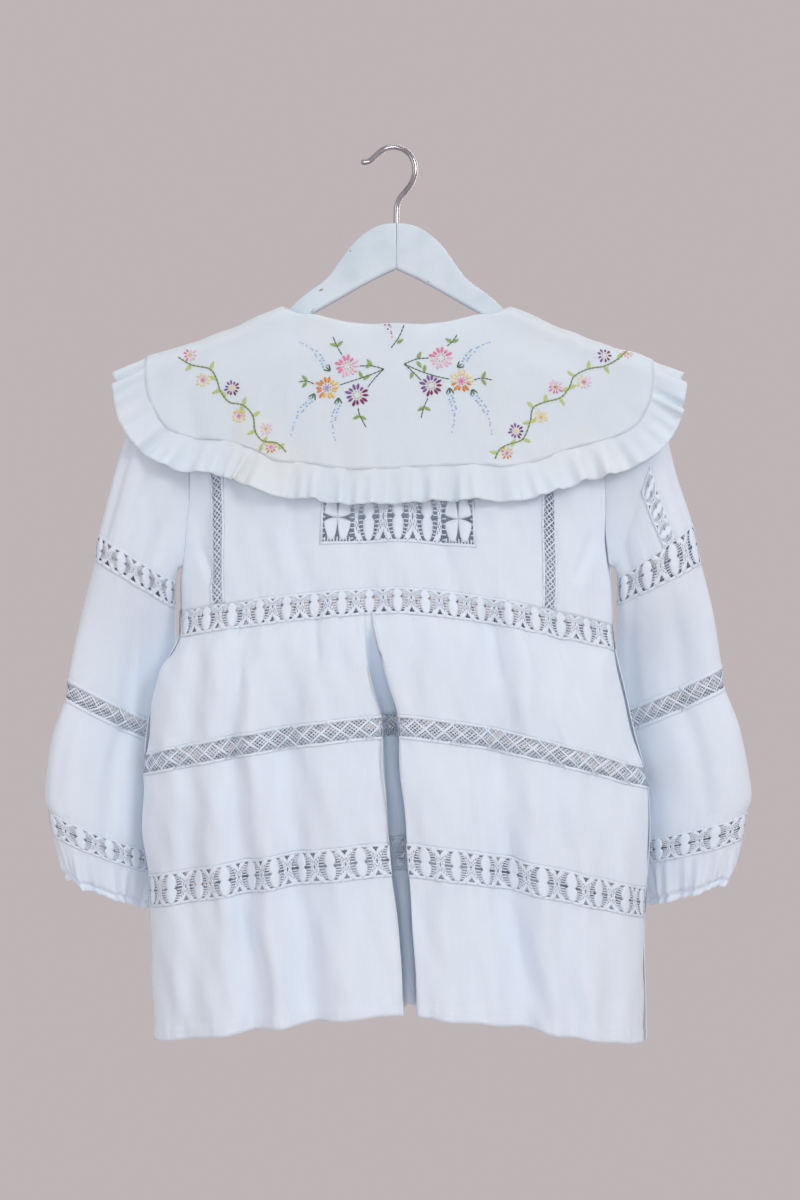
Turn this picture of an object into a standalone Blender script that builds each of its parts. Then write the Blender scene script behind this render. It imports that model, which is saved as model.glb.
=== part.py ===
"""A prairie blouse on a wooden hanger, hung by its hook.

Metres, +Z up. -Y is the side that shows the blouse's back, +Y its front, +X the
right-hand side of that view. The origin is where a rail touches the hook, on the
inner side of its crown, right above the shank.
"""

import math

import bmesh
import bpy
from mathutils import Vector

CLOTH = 0.0012          # thickness of every cloth wall
HALF_GAP = 0.00015      # each piece stops this far short of a seam line
ARMHOLE_GAP = 0.0008    # the sleeve starts this far out from the panels
NEXT_LAYER = 0.0018     # outer face of a strip laid on a panel, above that panel's face

# Ridge of the cloth over the hanger, by distance from the middle.
RIDGE = [  # (x, z)
    (0.0000, -0.1180), (0.0500, -0.1235), (0.0952, -0.1357), (0.1430, -0.1580),
    (0.1840, -0.1745), (0.2000, -0.1800), (0.2140, -0.1850), (0.2400, -0.1970),
]
RIDGE_RADIUS = 0.0085   # bend of the cloth over the hanger's edge
TIP_X = 0.1900          # the armhole crosses the ridge here

# Half-width of the back and front panels: the armhole edge, then the side seam.
PANEL_WIDTH = [  # (z, x)
    (-0.1745, 0.1900), (-0.2000, 0.1850), (-0.2400, 0.1785), (-0.2800, 0.1765),
    (-0.3200, 0.1780), (-0.3520, 0.1815), (-0.3750, 0.1835), (-0.4100, 0.1845),
]
ARMPIT_Z = -0.3520

# Half the depth of the upper body at its middle and at its edges.
UPPER_DEPTH = [  # (z, middle, edge, fullness of the edge: 1 is lean, 0.5 is round)
    (-0.1300, 0.0100, 0.0085, 1.00), (-0.1500, 0.0115, 0.0085, 1.00),
    (-0.1900, 0.0180, 0.0080, 1.00), (-0.2400, 0.0250, 0.0060, 0.90),
    (-0.2900, 0.0300, 0.0040, 0.80), (-0.3400, 0.0345, 0.0022, 0.62),
    (-0.3730, 0.0360, 0.0017, 0.50), (-0.4100, 0.0370, 0.0017, 0.50),
]

# Top edge of each panel, from the middle to the shoulder tip. h is the distance from
# the ridge along the cloth, plus down the back and minus down the front.
BACK_TOP = [  # (share of the panel's half-width, x, h)
    (0.00, 0.0000, 0.0359), (0.18, 0.0300, 0.0335), (0.33, 0.0547, 0.0258),
    (0.43, 0.0745, 0.0175), (0.48, 0.0860, 0.0135), (0.53, 0.0945, 0.0065),
    (0.57, 0.0990, 0.0000), (1.00, 0.1900, 0.0000),
]
FRONT_TOP = [
    (0.00, 0.0000, -0.1630), (0.15, 0.0270, -0.1560), (0.30, 0.0550, -0.1350),
    (0.42, 0.0780, -0.1020), (0.50, 0.0905, -0.0650), (0.535, 0.0948, -0.0300),
    (0.545, 0.0963, -0.0135), (0.555, 0.0977, -0.0065), (0.57, 0.0990, 0.0000),
    (1.00, 0.1900, 0.0000),
]

# Rings of the body below the armholes, by the height of their middle: half-widths,
# half-depths, and how far the seam lines fall from the middle to each side.
BODY = [  # (level, left, right, back, front, drop_left, drop_right)
    (-0.3730, 0.1835, 0.1835, 0.0360, 0.0360, 0.0190, 0.0310),
    (-0.3930, 0.1845, 0.1855, 0.0372, 0.0365, 0.0200, 0.0320),
    (-0.4120, 0.1990, 0.1900, 0.0420, 0.0400, 0.0270, 0.0380),
    (-0.4450, 0.2090, 0.1990, 0.0470, 0.0440, 0.0330, 0.0440),
    (-0.4785, 0.2135, 0.2085, 0.0490, 0.0460, 0.0345, 0.0460),
    (-0.4960, 0.2150, 0.2120, 0.0500, 0.0470, 0.0345, 0.0460),
    (-0.5400, 0.2140, 0.2145, 0.0560, 0.0520, 0.0340, 0.0450),
    (-0.5830, 0.2105, 0.2130, 0.0570, 0.0530, 0.0330, 0.0440),
    (-0.6085, 0.2097, 0.2120, 0.0580, 0.0540, 0.0330, 0.0420),
    (-0.6550, 0.2077, 0.2105, 0.0620, 0.0580, 0.0330, 0.0390),
    (-0.7220, 0.2035, 0.2088, 0.0660, 0.0620, 0.0320, 0.0350),
]
BAND_1 = (-0.3730, -0.3930)
BAND_2 = (-0.4785, -0.4960)
BAND_3 = (-0.5830, -0.6085)
HEM = -0.7220
SIDE_POWER = 3.0        # squareness of the body's plan
DROP_POWER = 1.5        # how the seam lines fall towards the sides

# Soft folds: place across the body at the first band, the second and the hem,
# half-width, and how far the cloth stands out at those three heights.
FOLD_LEVELS = (-0.3730, -0.4000, -0.4785, -0.7220)
BACK_FOLDS = [  # (x_top, x_mid, x_hem, half_width, out_top, out_mid, out_hem)
    (-0.170, -0.174, -0.170, 0.015, -0.001, -0.004, -0.006),
    (-0.150, -0.152, -0.143, 0.020, 0.001, 0.004, 0.007),
    (-0.128, -0.138, -0.116, 0.016, -0.002, -0.006, -0.009),
    (-0.108, -0.120, -0.092, 0.016, 0.002, 0.006, 0.010),
    (-0.086, -0.093, -0.068, 0.018, -0.003, -0.007, -0.010),
    (-0.056, -0.060, -0.036, 0.024, 0.002, 0.006, 0.008),
    (0.032, 0.034, 0.048, 0.024, 0.002, 0.006, 0.009),
    (0.077, 0.081, 0.104, 0.022, -0.004, -0.009, -0.013),
    (0.102, 0.110, 0.134, 0.015, 0.003, 0.005, 0.005),
    (0.134, 0.144, 0.165, 0.018, 0.002, 0.005, 0.007),
    (0.158, 0.168, 0.184, 0.014, -0.001, -0.003, -0.004),
]
FRONT_FOLDS = [
    (-0.150, -0.160, -0.152, 0.022, -0.001, -0.005, -0.009),
    (-0.118, -0.124, -0.114, 0.022, 0.001, 0.006, 0.010),
    (-0.082, -0.086, -0.076, 0.022, -0.002, -0.007, -0.011),
    (-0.046, -0.048, -0.042, 0.024, 0.002, 0.005, 0.009),
    (-0.008, -0.006, 0.000, 0.024, -0.002, -0.007, -0.011),
    (0.032, 0.036, 0.042, 0.026, 0.002, 0.006, 0.010),
    (0.074, 0.080, 0.084, 0.023, -0.002, -0.006, -0.010),
    (0.112, 0.120, 0.124, 0.024, 0.001, 0.006, 0.009),
    (0.150, 0.160, 0.160, 0.020, -0.001, -0.005, -0.007),
]

# The deep fold down the middle of the back: its two lips and how far it runs in.
CLEFT = [  # (level, x_left_lip, x_right_lip, depth)
    (-0.3730, -0.0270, -0.0210, 0.0000),
    (-0.3930, -0.0268, -0.0200, 0.0012),
    (-0.4250, -0.0245, -0.0150, 0.0120),
    (-0.4500, -0.0190, -0.0070, 0.0220),
    (-0.4785, -0.0120, 0.0010, 0.0310),
    (-0.5200, -0.0090, 0.0040, 0.0380),
    (-0.5830, -0.0050, 0.0080, 0.0430),
    (-0.6300, 0.0010, 0.0120, 0.0460),
    (-0.6700, 0.0050, 0.0150, 0.0470),
    (-0.7220, 0.0070, 0.0190, 0.0480),
]
LIP_LEFT = 0.42         # share of the back's width, along the cloth, up to each lip
LIP_RIGHT = 0.58

# Collar, from the middle of the back over the shoulder to the middle of the front:
# its neck edge, and its outer edge left and right. h as above.
COLLAR = [  # (around, x_neck, h_neck, x_left, h_left, x_right, h_right)
    (0.00, 0.0000, 0.0359, 0.0000, 0.1580, 0.0000, 0.1580),
    (0.15, 0.0200, 0.0350, 0.0400, 0.1547, 0.0430, 0.1512),
    (0.28, 0.0400, 0.0312, 0.0720, 0.1440, 0.0720, 0.1450),
    (0.40, 0.0560, 0.0252, 0.0980, 0.1330, 0.0980, 0.1375),
    (0.52, 0.0690, 0.0190, 0.1200, 0.1130, 0.1230, 0.1190),
    (0.64, 0.0810, 0.0148, 0.1460, 0.0930, 0.1510, 0.0960),
    (0.76, 0.0910, 0.0090, 0.1750, 0.0780, 0.1800, 0.0770),
    (0.86, 0.0960, 0.0042, 0.1970, 0.0560, 0.2020, 0.0560),
    (0.94, 0.0983, -0.0010, 0.2080, 0.0280, 0.2130, 0.0280),
    (1.02, 0.0992, -0.0085, 0.2100, 0.0000, 0.2150, 0.0000),
    (1.10, 0.0990, -0.0180, 0.2080, -0.0280, 0.2130, -0.0280),
    (1.22, 0.0976, -0.0380, 0.1960, -0.0570, 0.1990, -0.0570),
    (1.36, 0.0900, -0.0690, 0.1740, -0.0910, 0.1760, -0.0910),
    (1.50, 0.0780, -0.1025, 0.1430, -0.1340, 0.1440, -0.1340),
    (1.66, 0.0550, -0.1355, 0.0980, -0.1790, 0.0980, -0.1790),
    (1.82, 0.0270, -0.1562, 0.0480, -0.2060, 0.0480, -0.2060),
    (2.00, 0.0000, -0.1632, 0.0000, -0.2150, 0.0000, -0.2150),
]
COLLAR_SEAM = 1.06      # back and front halves of the collar meet here
COLLAR_LIFT = 0.0030    # outer face of the collar above the panel at the neck
COLLAR_STAND = 0.0052   # how much further it stands off at its edge
COLLAR_LEAST = 0.0105   # it never lies flatter than this over the armhole
RUFFLE_WIDTH = 0.0310
RUFFLE_SWING = 0.0058
RUFFLE_WAVES_BACK = 22
RUFFLE_WAVES_FRONT = 15
RUFFLE_GAP = 0.0011
RUFFLE_FALL = [  # (around, outward, down, off the body)
    (0.00, 0.00, 1.00, 0.20), (0.40, 0.12, 1.00, 0.22), (0.52, 0.45, 0.85, 0.24),
    (0.64, 0.30, 0.92, 0.22), (0.76, 0.40, 0.80, 0.20), (0.86, 0.72, 0.62, 0.16),
    (0.94, 0.84, 0.46, 0.08), (1.02, 0.86, 0.44, 0.00), (1.10, 0.84, 0.46, 0.10),
    (1.22, 0.76, 0.64, 0.18), (1.36, 0.60, 0.78, 0.22), (1.50, 0.40, 0.90, 0.22),
    (1.66, 0.20, 0.98, 0.20), (2.00, 0.00, 1.00, 0.20),
]

# Sleeves: where each ring lies on the outer and the inner side of the arm, and half
# its depth towards the back and the front.
SLEEVE_LEFT = [  # (x_out, y_out, z_out, x_in, y_in, z_in, back, front)
    (0.2240, 0.0000, -0.2270, 0.1856, 0.0006, -0.3556, 0.0150, 0.0150),   # cap
    (0.2370, 0.0000, -0.2672, 0.1872, 0.0020, -0.3605, 0.0220, 0.0240),
    (0.2519, 0.0000, -0.3284, 0.1888, 0.0040, -0.3680, 0.0260, 0.0280),   # band a, top
    (0.2545, 0.0000, -0.3470, 0.1900, 0.0120, -0.3880, 0.0260, 0.0290),   # band a, bottom
    (0.2680, 0.0000, -0.4000, 0.1920, 0.0430, -0.4480, 0.0240, 0.0320),
    (0.2783, 0.0000, -0.4508, 0.1945, 0.0480, -0.4970, 0.0240, 0.0320),   # band b, top
    (0.2802, 0.0000, -0.4660, 0.1955, 0.0490, -0.5130, 0.0240, 0.0320),   # band b, bottom
    (0.2925, 0.0000, -0.5000, 0.1985, 0.0490, -0.5480, 0.0330, 0.0380),
    (0.2983, 0.0000, -0.5450, 0.2010, 0.0480, -0.5880, 0.0360, 0.0400),
    (0.2948, 0.0000, -0.5610, 0.2045, 0.0460, -0.6030, 0.0350, 0.0390),   # band c, top
    (0.2919, 0.0000, -0.5800, 0.2065, 0.0440, -0.6200, 0.0320, 0.0350),   # band c, bottom
    (0.2850, 0.0000, -0.6070, 0.2105, 0.0400, -0.6390, 0.0270, 0.0290),
    (0.2791, 0.0000, -0.6190, 0.2140, 0.0380, -0.6500, 0.0230, 0.0250),   # cuff
]
SLEEVE_RIGHT = [
    (0.2270, 0.0000, -0.2270, 0.1856, 0.0006, -0.3556, 0.0150, 0.0150),
    (0.2400, 0.0000, -0.2800, 0.1872, 0.0020, -0.3600, 0.0220, 0.0240),
    (0.2520, 0.0000, -0.3200, 0.1888, 0.0040, -0.3650, 0.0260, 0.0280),
    (0.2585, 0.0000, -0.3500, 0.1900, 0.0120, -0.3850, 0.0260, 0.0290),
    (0.2690, 0.0000, -0.3950, 0.1920, 0.0430, -0.4400, 0.0240, 0.0320),
    (0.2768, 0.0000, -0.4400, 0.1940, 0.0480, -0.4820, 0.0240, 0.0320),
    (0.2785, 0.0000, -0.4570, 0.1950, 0.0490, -0.4990, 0.0240, 0.0320),
    (0.2920, 0.0000, -0.4950, 0.1985, 0.0490, -0.5350, 0.0330, 0.0380),
    (0.3012, 0.0000, -0.5450, 0.2015, 0.0480, -0.5760, 0.0360, 0.0400),
    (0.2981, 0.0000, -0.5630, 0.2050, 0.0460, -0.5920, 0.0350, 0.0390),
    (0.2947, 0.0000, -0.5834, 0.2075, 0.0440, -0.6110, 0.0320, 0.0350),
    (0.2880, 0.0000, -0.6090, 0.2120, 0.0400, -0.6350, 0.0270, 0.0290),
    (0.2819, 0.0000, -0.6208, 0.2160, 0.0380, -0.6478, 0.0230, 0.0250),
]
SEAM_RINGS = {"band_a": (3, 4), "band_b": (6, 7), "band_c": (10, 11), "cuff": (11, 13)}
SLEEVE_COLUMNS = 14
SLEEVE_TRIM = 0.0003
CUFF_GATHERS = 8
CUFF_SWING = 0.0030

# Hanger
WOOD_THICKNESS = 0.0106
WOOD_CORNER = 0.0030
WOOD_TOP = [  # (x, z)
    (0.0000, -0.0628), (0.0085, -0.0634), (0.0169, -0.0656), (0.0303, -0.0739),
    (0.0403, -0.0840), (0.0488, -0.0958), (0.0573, -0.1078), (0.0656, -0.1151),
    (0.0740, -0.1210), (0.0824, -0.1276), (0.0955, -0.1395), (0.1430, -0.1614),
    (0.1740, -0.1736), (0.1790, -0.1775),
]
WOOD_BOTTOM = [
    (0.0000, -0.1017), (0.0200, -0.1112), (0.0522, -0.1292), (0.0950, -0.1530),
    (0.1430, -0.1780), (0.1720, -0.1905), (0.1790, -0.1880),
]
WOOD_STATIONS = (0.00015, 0.0085, 0.0169, 0.0303, 0.0403, 0.0488, 0.0573, 0.0656, 0.0824,
                 0.0955, 0.1150, 0.1430, 0.1700, 0.1770, 0.1800)
HOOK_RADIUS = 0.00235
HOOK_PATH = [  # (x, z) of the wire's middle from inside the wood to the tip
    (0.0000, -0.0800), (0.0000, -0.0560), (0.0006, -0.0475), (0.0032, -0.0408),
    (0.0078, -0.0353), (0.0122, -0.0295), (0.0150, -0.0228), (0.0159, -0.0160),
    (0.0145, -0.0095), (0.0108, -0.0036), (0.0052, 0.0006), (-0.0014, 0.0024),
    (-0.0078, 0.0015), (-0.0134, -0.0014), (-0.0184, -0.0060), (-0.0232, -0.0098),
    (-0.0278, -0.0106),
]
SOCKET_RADIUS = 0.0027
SOCKET_BOTTOM = -0.0810

COLOURS = {  # (red, green, blue), roughness, metallic
    "cotton": ((0.83, 0.84, 0.86), 0.9, 0.0),
    "lace": ((0.88, 0.89, 0.90), 0.85, 0.0),
    "collar cotton": ((0.82, 0.82, 0.82), 0.9, 0.0),
    "white paint": ((0.80, 0.80, 0.79), 0.45, 0.0),
    "steel": ((0.62, 0.62, 0.63), 0.2, 1.0),
}

for old in list(bpy.data.objects):
    bpy.data.objects.remove(old, do_unlink=True)
blouse = bpy.data.collections.new("prairie_blouse")
bpy.context.scene.collection.children.link(blouse)


def curve(rows, column=1):
    """A smooth line through (row[0], row[column]) that never overshoots."""
    pairs = sorted((row[0], row[column]) for row in rows)
    xs = [x for x, _ in pairs]
    ys = [y for _, y in pairs]
    steep = [(ys[i + 1] - ys[i]) / (xs[i + 1] - xs[i]) for i in range(len(xs) - 1)]
    slopes = [steep[0]]
    for before, after in zip(steep, steep[1:]):
        slopes.append(2 * before * after / (before + after) if before * after > 0 else 0.0)
    slopes.append(steep[-1])

    def at(x):
        if x <= xs[0]:
            return ys[0]
        if x >= xs[-1]:
            return ys[-1]
        i = max(k for k in range(len(xs) - 1) if xs[k] <= x)
        width = xs[i + 1] - xs[i]
        t = (x - xs[i]) / width
        return (ys[i] * (1 + 2 * t) * (1 - t) ** 2 + ys[i + 1] * t * t * (3 - 2 * t)
                + width * t * (1 - t) * (slopes[i] * (1 - t) - slopes[i + 1] * t))
    return at


def curves(rows):
    return [curve(rows, column) for column in range(1, len(rows[0]))]


def mix(a, b, t):
    return a + (b - a) * t


def ease(t):
    t = min(max(t, 0.0), 1.0)
    return t * t * (3 - 2 * t)


ridge = curve(RIDGE)
panel_width = curve(PANEL_WIDTH)
upper_depth = curves(UPPER_DEPTH)
panel_top = {"back": curves(BACK_TOP), "front": curves(FRONT_TOP)}
body_at = curves(BODY)
cleft_at = curves(CLEFT)
collar_at = curves(COLLAR)
fall_at = curves(RUFFLE_FALL)
wood_top = curve(WOOD_TOP)
wood_bottom = curve(WOOD_BOTTOM)


def upper_y(x, z):
    """Half the depth of the upper body at one place."""
    middle, edge, fullness = (line(z) for line in upper_depth)
    across = min(abs(x) / panel_width(z), 1.0)
    return edge + (middle - edge) * (1 - across ** SIDE_POWER) ** fullness


def over_shoulder(x, h, out=0.0, least=0.0):
    """Point h along the cloth from the ridge, at x, moved out by a layer."""
    bend = min(abs(h) / RIDGE_RADIUS, math.pi / 2)
    straight = abs(h) - bend * RIDGE_RADIUS
    y = (RIDGE_RADIUS + out) * math.sin(bend)
    z = ridge(abs(x)) - RIDGE_RADIUS + (RIDGE_RADIUS + out) * math.cos(bend) - straight
    if straight > 0:
        y += (max(upper_y(x, z), least) - RIDGE_RADIUS) * ease(straight / 0.035)
    return Vector((x, y if h < 0 else -y, z))


def height_to_h(x, z):
    return ridge(abs(x)) - RIDGE_RADIUS * (1 - math.pi / 2) - z


def seam_drop(x, level):
    left, right, _, _, drop_left, drop_right = (line(level) for line in body_at)
    half, drop = (left, drop_left) if x < 0 else (right, drop_right)
    return drop * min(abs(x) / half, 1.0) ** DROP_POWER


def upper_point(face, across, down, out=0.0):
    """Across runs -1 to 1 in x; down runs 0 to 1 from the top edge to the first band."""
    way = 1 if face == "back" else -1
    share = abs(across)
    sign = 1 if across >= 0 else -1
    top_x, top_h = (line(share) for line in panel_top[face])
    end_x = share * panel_width(BAND_1[0] - 0.02)
    end_z = BAND_1[0] - seam_drop(sign * end_x, BAND_1[0])
    start = top_h * way
    h = mix(start, height_to_h(end_x, end_z), down)
    ratio = mix(top_x / TIP_X, share, ease(down * 1.3))
    x = ratio * TIP_X
    for _ in range(4):
        z = over_shoulder(x, h * way).z
        x = ratio * panel_width(z)
    return over_shoulder(sign * x, h * way, out)


def fold_out(folds, x, level):
    first, second, third, last = FOLD_LEVELS
    total = 0.0
    for x_top, x_mid, x_hem, half_width, out_top, out_mid, out_hem in folds:
        if level > second:
            place, out = x_top, out_top * (first - level) / (first - second)
        elif level > third:
            t = (second - level) / (second - third)
            place, out = mix(x_top, x_mid, t), mix(out_top, out_mid, t)
        else:
            t = (third - level) / (third - last)
            place, out = mix(x_mid, x_hem, t), mix(out_mid, out_hem, t)
        away = abs(x - place) / half_width
        if away < 1:
            total += out * (0.5 + 0.5 * math.cos(math.pi * away))
    return total


def section_y(face, x, level):
    left, right, back, front, _, _ = (line(level) for line in body_at)
    across = min(abs(x) / (left if x < 0 else right), 1.0)
    depth = (back if face == "back" else front) * (1 - across ** SIDE_POWER) ** 0.5
    folds = BACK_FOLDS if face == "back" else FRONT_FOLDS
    depth += fold_out(folds, x, level) * (1 - across ** 8)
    return -depth if face == "back" else depth


def body_point(face, u, level):
    """u runs 0 to 1 around the back from the left seam, or the front from the right."""
    level_in = min(max(level, HEM), BAND_1[0])
    left, right = (line(level_in) for line in body_at[:2])
    if face == "front":
        angle = math.pi / 2 - math.pi * u
        x = (right if angle > 0 else left) * math.sin(angle)
        y = section_y(face, x, level_in)
    else:
        x_left, x_right, depth = (line(level_in) for line in cleft_at)
        if u <= LIP_LEFT:
            last = math.asin(x_left / (left if x_left < 0 else right))
            angle = mix(-math.pi / 2, last, u / LIP_LEFT)
            x = (left if angle < 0 else right) * math.sin(angle)
            y = section_y(face, x, level_in)
        elif u >= LIP_RIGHT:
            first = math.asin(x_right / (left if x_right < 0 else right))
            angle = mix(first, math.pi / 2, (u - LIP_RIGHT) / (1 - LIP_RIGHT))
            x = (left if angle < 0 else right) * math.sin(angle)
            y = section_y(face, x, level_in)
        else:
            c = (u - LIP_LEFT) / (LIP_RIGHT - LIP_LEFT)
            turn = math.pi * c
            way = 1 if math.cos(turn) < 0 else -1
            side = 0.5 + 0.5 * way * abs(math.cos(turn)) ** 0.6
            x = mix(x_left, x_right, side)
            y = mix(section_y(face, x_left, level_in), section_y(face, x_right, level_in), side)
            y += depth * math.sin(turn) ** 0.6
    z = level - seam_drop(x, level_in)
    return Vector((x, y, z))


def armhole_point(turn):
    """The panels' edge around the armhole: 0 at the shoulder, half a turn at the armpit."""
    way = 1 if math.sin(turn) >= 0 else -1
    share = (1 - math.cos(turn)) / 2
    h = share * height_to_h(panel_width(ARMPIT_Z), ARMPIT_Z)
    x = TIP_X
    for _ in range(4):
        z = over_shoulder(x, h).z
        x = panel_width(z)
    point = over_shoulder(x, h * way)
    if abs(math.sin(turn)) < 1e-6 and share > 0.5:
        point.y = 0.0
    point.x += ARMHOLE_GAP
    return point


def armhole_normal(side, u):
    """Outward at the armhole as on the panels, so both walls lie in one layer."""
    turn = 2 * math.pi * u * (-1 if side == "right" else 1)
    share = (1 - math.cos(turn)) / 2
    h = share * height_to_h(panel_width(ARMPIT_Z), ARMPIT_Z)
    bend = min(h / RIDGE_RADIUS, math.pi / 2)
    way = 1 if math.sin(turn) >= 0 else -1
    if share > 0.999:
        return Vector((0.0, 0.0, -1.0))
    return Vector((0.0, -way * math.sin(bend), math.cos(bend)))


def sleeve_point(side, u, ring):
    """u runs once around from the outer line; ring 0 is the armhole, 13 the cuff."""
    rows = SLEEVE_LEFT if side == "left" else SLEEVE_RIGHT
    turn = 2 * math.pi * u
    if side == "right":
        turn = -turn
    i = min(max(int(ring), 0), len(rows) - 1)
    t = min(ring - i, 1.0)

    def place(index):
        if index == 0:
            return armhole_point(turn)
        x_out, y_out, z_out, x_in, y_in, z_in, back, front = rows[index - 1]
        outer = Vector((x_out, y_out, z_out))
        inner = Vector((x_in, y_in, z_in))
        point = (outer + inner) / 2 + (outer - inner) / 2 * math.cos(turn)
        point.y -= (back if math.sin(turn) > 0 else front) * math.sin(turn)
        return point

    if i == 0:
        point = place(0).lerp(place(1), t)
    else:
        before, here = place(max(i - 1, 1)), place(i)
        after, beyond = place(min(i + 1, len(rows))), place(min(i + 2, len(rows)))
        point = (here * (1 + 2 * t) * (1 - t) ** 2 + after * t * t * (3 - 2 * t)
                 + ((after - before) * (1 - t) - (beyond - here) * t) * (0.5 * t * (1 - t)))
    if side == "left":
        point.x = -point.x
    return point


def collar_point(p, q):
    """p runs -2 to 2 around, 0 at the middle of the back; q runs from the neck outward."""
    x_neck, h_neck, x_left, h_left, x_right, h_right = (line(abs(p)) for line in collar_at)
    x_edge, h_edge = (x_left, h_left) if p < 0 else (x_right, h_right)
    x = mix(x_neck, x_edge, q) * (1 if p >= 0 else -1)
    h = mix(h_neck, h_edge, q)
    return over_shoulder(x, h, COLLAR_LIFT + COLLAR_STAND * q, mix(0.0, COLLAR_LEAST, q))


def ruffle_point(p, r, wave):
    """Strip gathered to the collar's edge; wave is the phase in turns."""
    step = 0.004
    edge = collar_point(p, 1.0)
    along = collar_point(p + step, 1.0) - collar_point(p - step, 1.0)
    outward, down, off = (line(abs(p)) for line in fall_at)
    y_way = -1 if edge.y < 0 else 1
    fall = Vector((outward * (1 if p >= 0 else -1), off * y_way, -down)).normalized()
    stand = fall.cross(along).normalized()
    point = edge + fall * (RUFFLE_GAP + r * RUFFLE_WIDTH)
    size = 0.75 + 0.25 * math.sin(1.7 * math.floor(wave))
    return point + stand * (RUFFLE_SWING * size * math.sin(2 * math.pi * wave)
                            * max(r, 0.0) ** 0.8)


def make_object(name, mesh, kind, tint=(1.0, 1.0, 1.0)):
    colour, roughness, metallic = COLOURS[kind]
    material = bpy.data.materials.new(name + "_" + kind.replace(" ", "_"))
    material.use_nodes = True
    shader = next(n for n in material.node_tree.nodes if n.type == "BSDF_PRINCIPLED")
    mixed = [a * b for a, b in zip(colour, tint)]
    shader.inputs["Base Color"].default_value = (*mixed, 1.0)
    shader.inputs["Roughness"].default_value = roughness
    shader.inputs["Metallic"].default_value = metallic
    mesh.materials.append(material)
    item = bpy.data.objects.new(name, mesh)
    blouse.objects.link(item)
    return item


def finish_mesh(name, work, kind):
    mesh = bpy.data.meshes.new(name)
    work.to_mesh(mesh)
    work.free()
    return make_object(name, mesh, kind)


def shell(name, point, us, vs, kind, holes=(), closed=False, first_normal=None,
          wrap=0.0):
    """Cloth wall on a grid: u to the right and v down as seen from outside."""
    work = bmesh.new()
    step_u = (us[-1] - us[0]) * 0.002
    step_v = (vs[-1] - vs[0]) * 0.01
    outer, inner = {}, {}
    columns = len(us) - 1 if closed else len(us)
    for i in range(columns):
        for j, v in enumerate(vs):
            u = us[i]
            low, high = u - step_u, u + step_u
            if wrap:
                low, high = u - wrap, u + wrap
            elif not closed:
                low, high = max(low, us[0]), min(high, us[-1])
            across = point(high, v) - point(low, v)
            down = point(u, v + step_v) - point(u, v - step_v)
            normal = down.cross(across).normalized()
            if first_normal and j == 0:
                normal = first_normal(u)
            spot = point(u, v)
            outer[i, j] = work.verts.new(spot)
            inner[i, j] = work.verts.new(spot - normal * CLOTH)
    cells = {(i, j) for i in range(len(us) - 1) for j in range(len(vs) - 1)} - set(holes)

    def quad(a, b, c, d):
        work.faces.new((a, b, c))
        work.faces.new((a, c, d))

    around = len(us) - 1
    for i, j in sorted(cells):
        right = (i + 1) % around if closed else i + 1
        a, b, c, d = (i, j), (i, j + 1), (right, j + 1), (right, j)
        quad(outer[a], outer[b], outer[c], outer[d])
        quad(inner[a], inner[d], inner[c], inner[b])
        left_cell = ((i - 1) % around if closed else i - 1, j)
        right_cell = (right if closed else i + 1, j)
        for neighbour, (p, q) in ((left_cell, (a, b)), ((i, j + 1), (b, c)),
                                  (right_cell, (c, d)), ((i, j - 1), (d, a))):
            if neighbour not in cells:
                quad(outer[p], inner[p], inner[q], outer[q])
    return finish_mesh(name, work, kind)


def steps(start, end, count):
    return [mix(start, end, k / count) for k in range(count + 1)]


def evenly(point, v, start, end, shares):
    """Places along a row that divide its length into the given shares."""
    fine = steps(start, end, 600)
    spots = [point(u, v) for u in fine]
    lengths = [0.0]
    for one, other in zip(spots, spots[1:]):
        lengths.append(lengths[-1] + (other - one).length)
    places, k = [], 0
    for share in shares:
        goal = share * lengths[-1]
        while k < len(lengths) - 2 and lengths[k + 1] < goal:
            k += 1
        part = (goal - lengths[k]) / max(lengths[k + 1] - lengths[k], 1e-9)
        places.append(mix(fine[k], fine[k + 1], min(max(part, 0.0), 1.0)))
    return places


def row_length(point, v, start, end):
    spots = [point(u, v) for u in steps(start, end, 300)]
    return sum((b - a).length for a, b in zip(spots, spots[1:]))


def cut_band(name, point, start, end, top, bottom, repeat, cuts, rows, hole_rows, wrap=0.0):
    """Openwork band: every repeat has cut places across, in the rows named as open."""
    middle = (top + bottom) / 2
    count = max(round(row_length(point, middle, start, end) / repeat), 1)
    shares, holes = [0.0], []
    for k in range(count):
        for low, high in cuts:
            shares += [(k + low) / count, (k + high) / count]
            holes += [(len(shares) - 2, row) for row in hole_rows]
    shares.append(1.0)
    us = evenly(point, middle, start, end, shares)
    vs = [mix(top, bottom, share) for share in rows]
    return shell(name, point, us, vs, "lace", holes, wrap=wrap)


def side_trim(point, level, start, end):
    """How much u a piece gives up at each side seam."""
    return (HALF_GAP / (point(start + 0.001 * (end - start), level)
                        - point(start, level)).length * 0.001 * (end - start))


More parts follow.
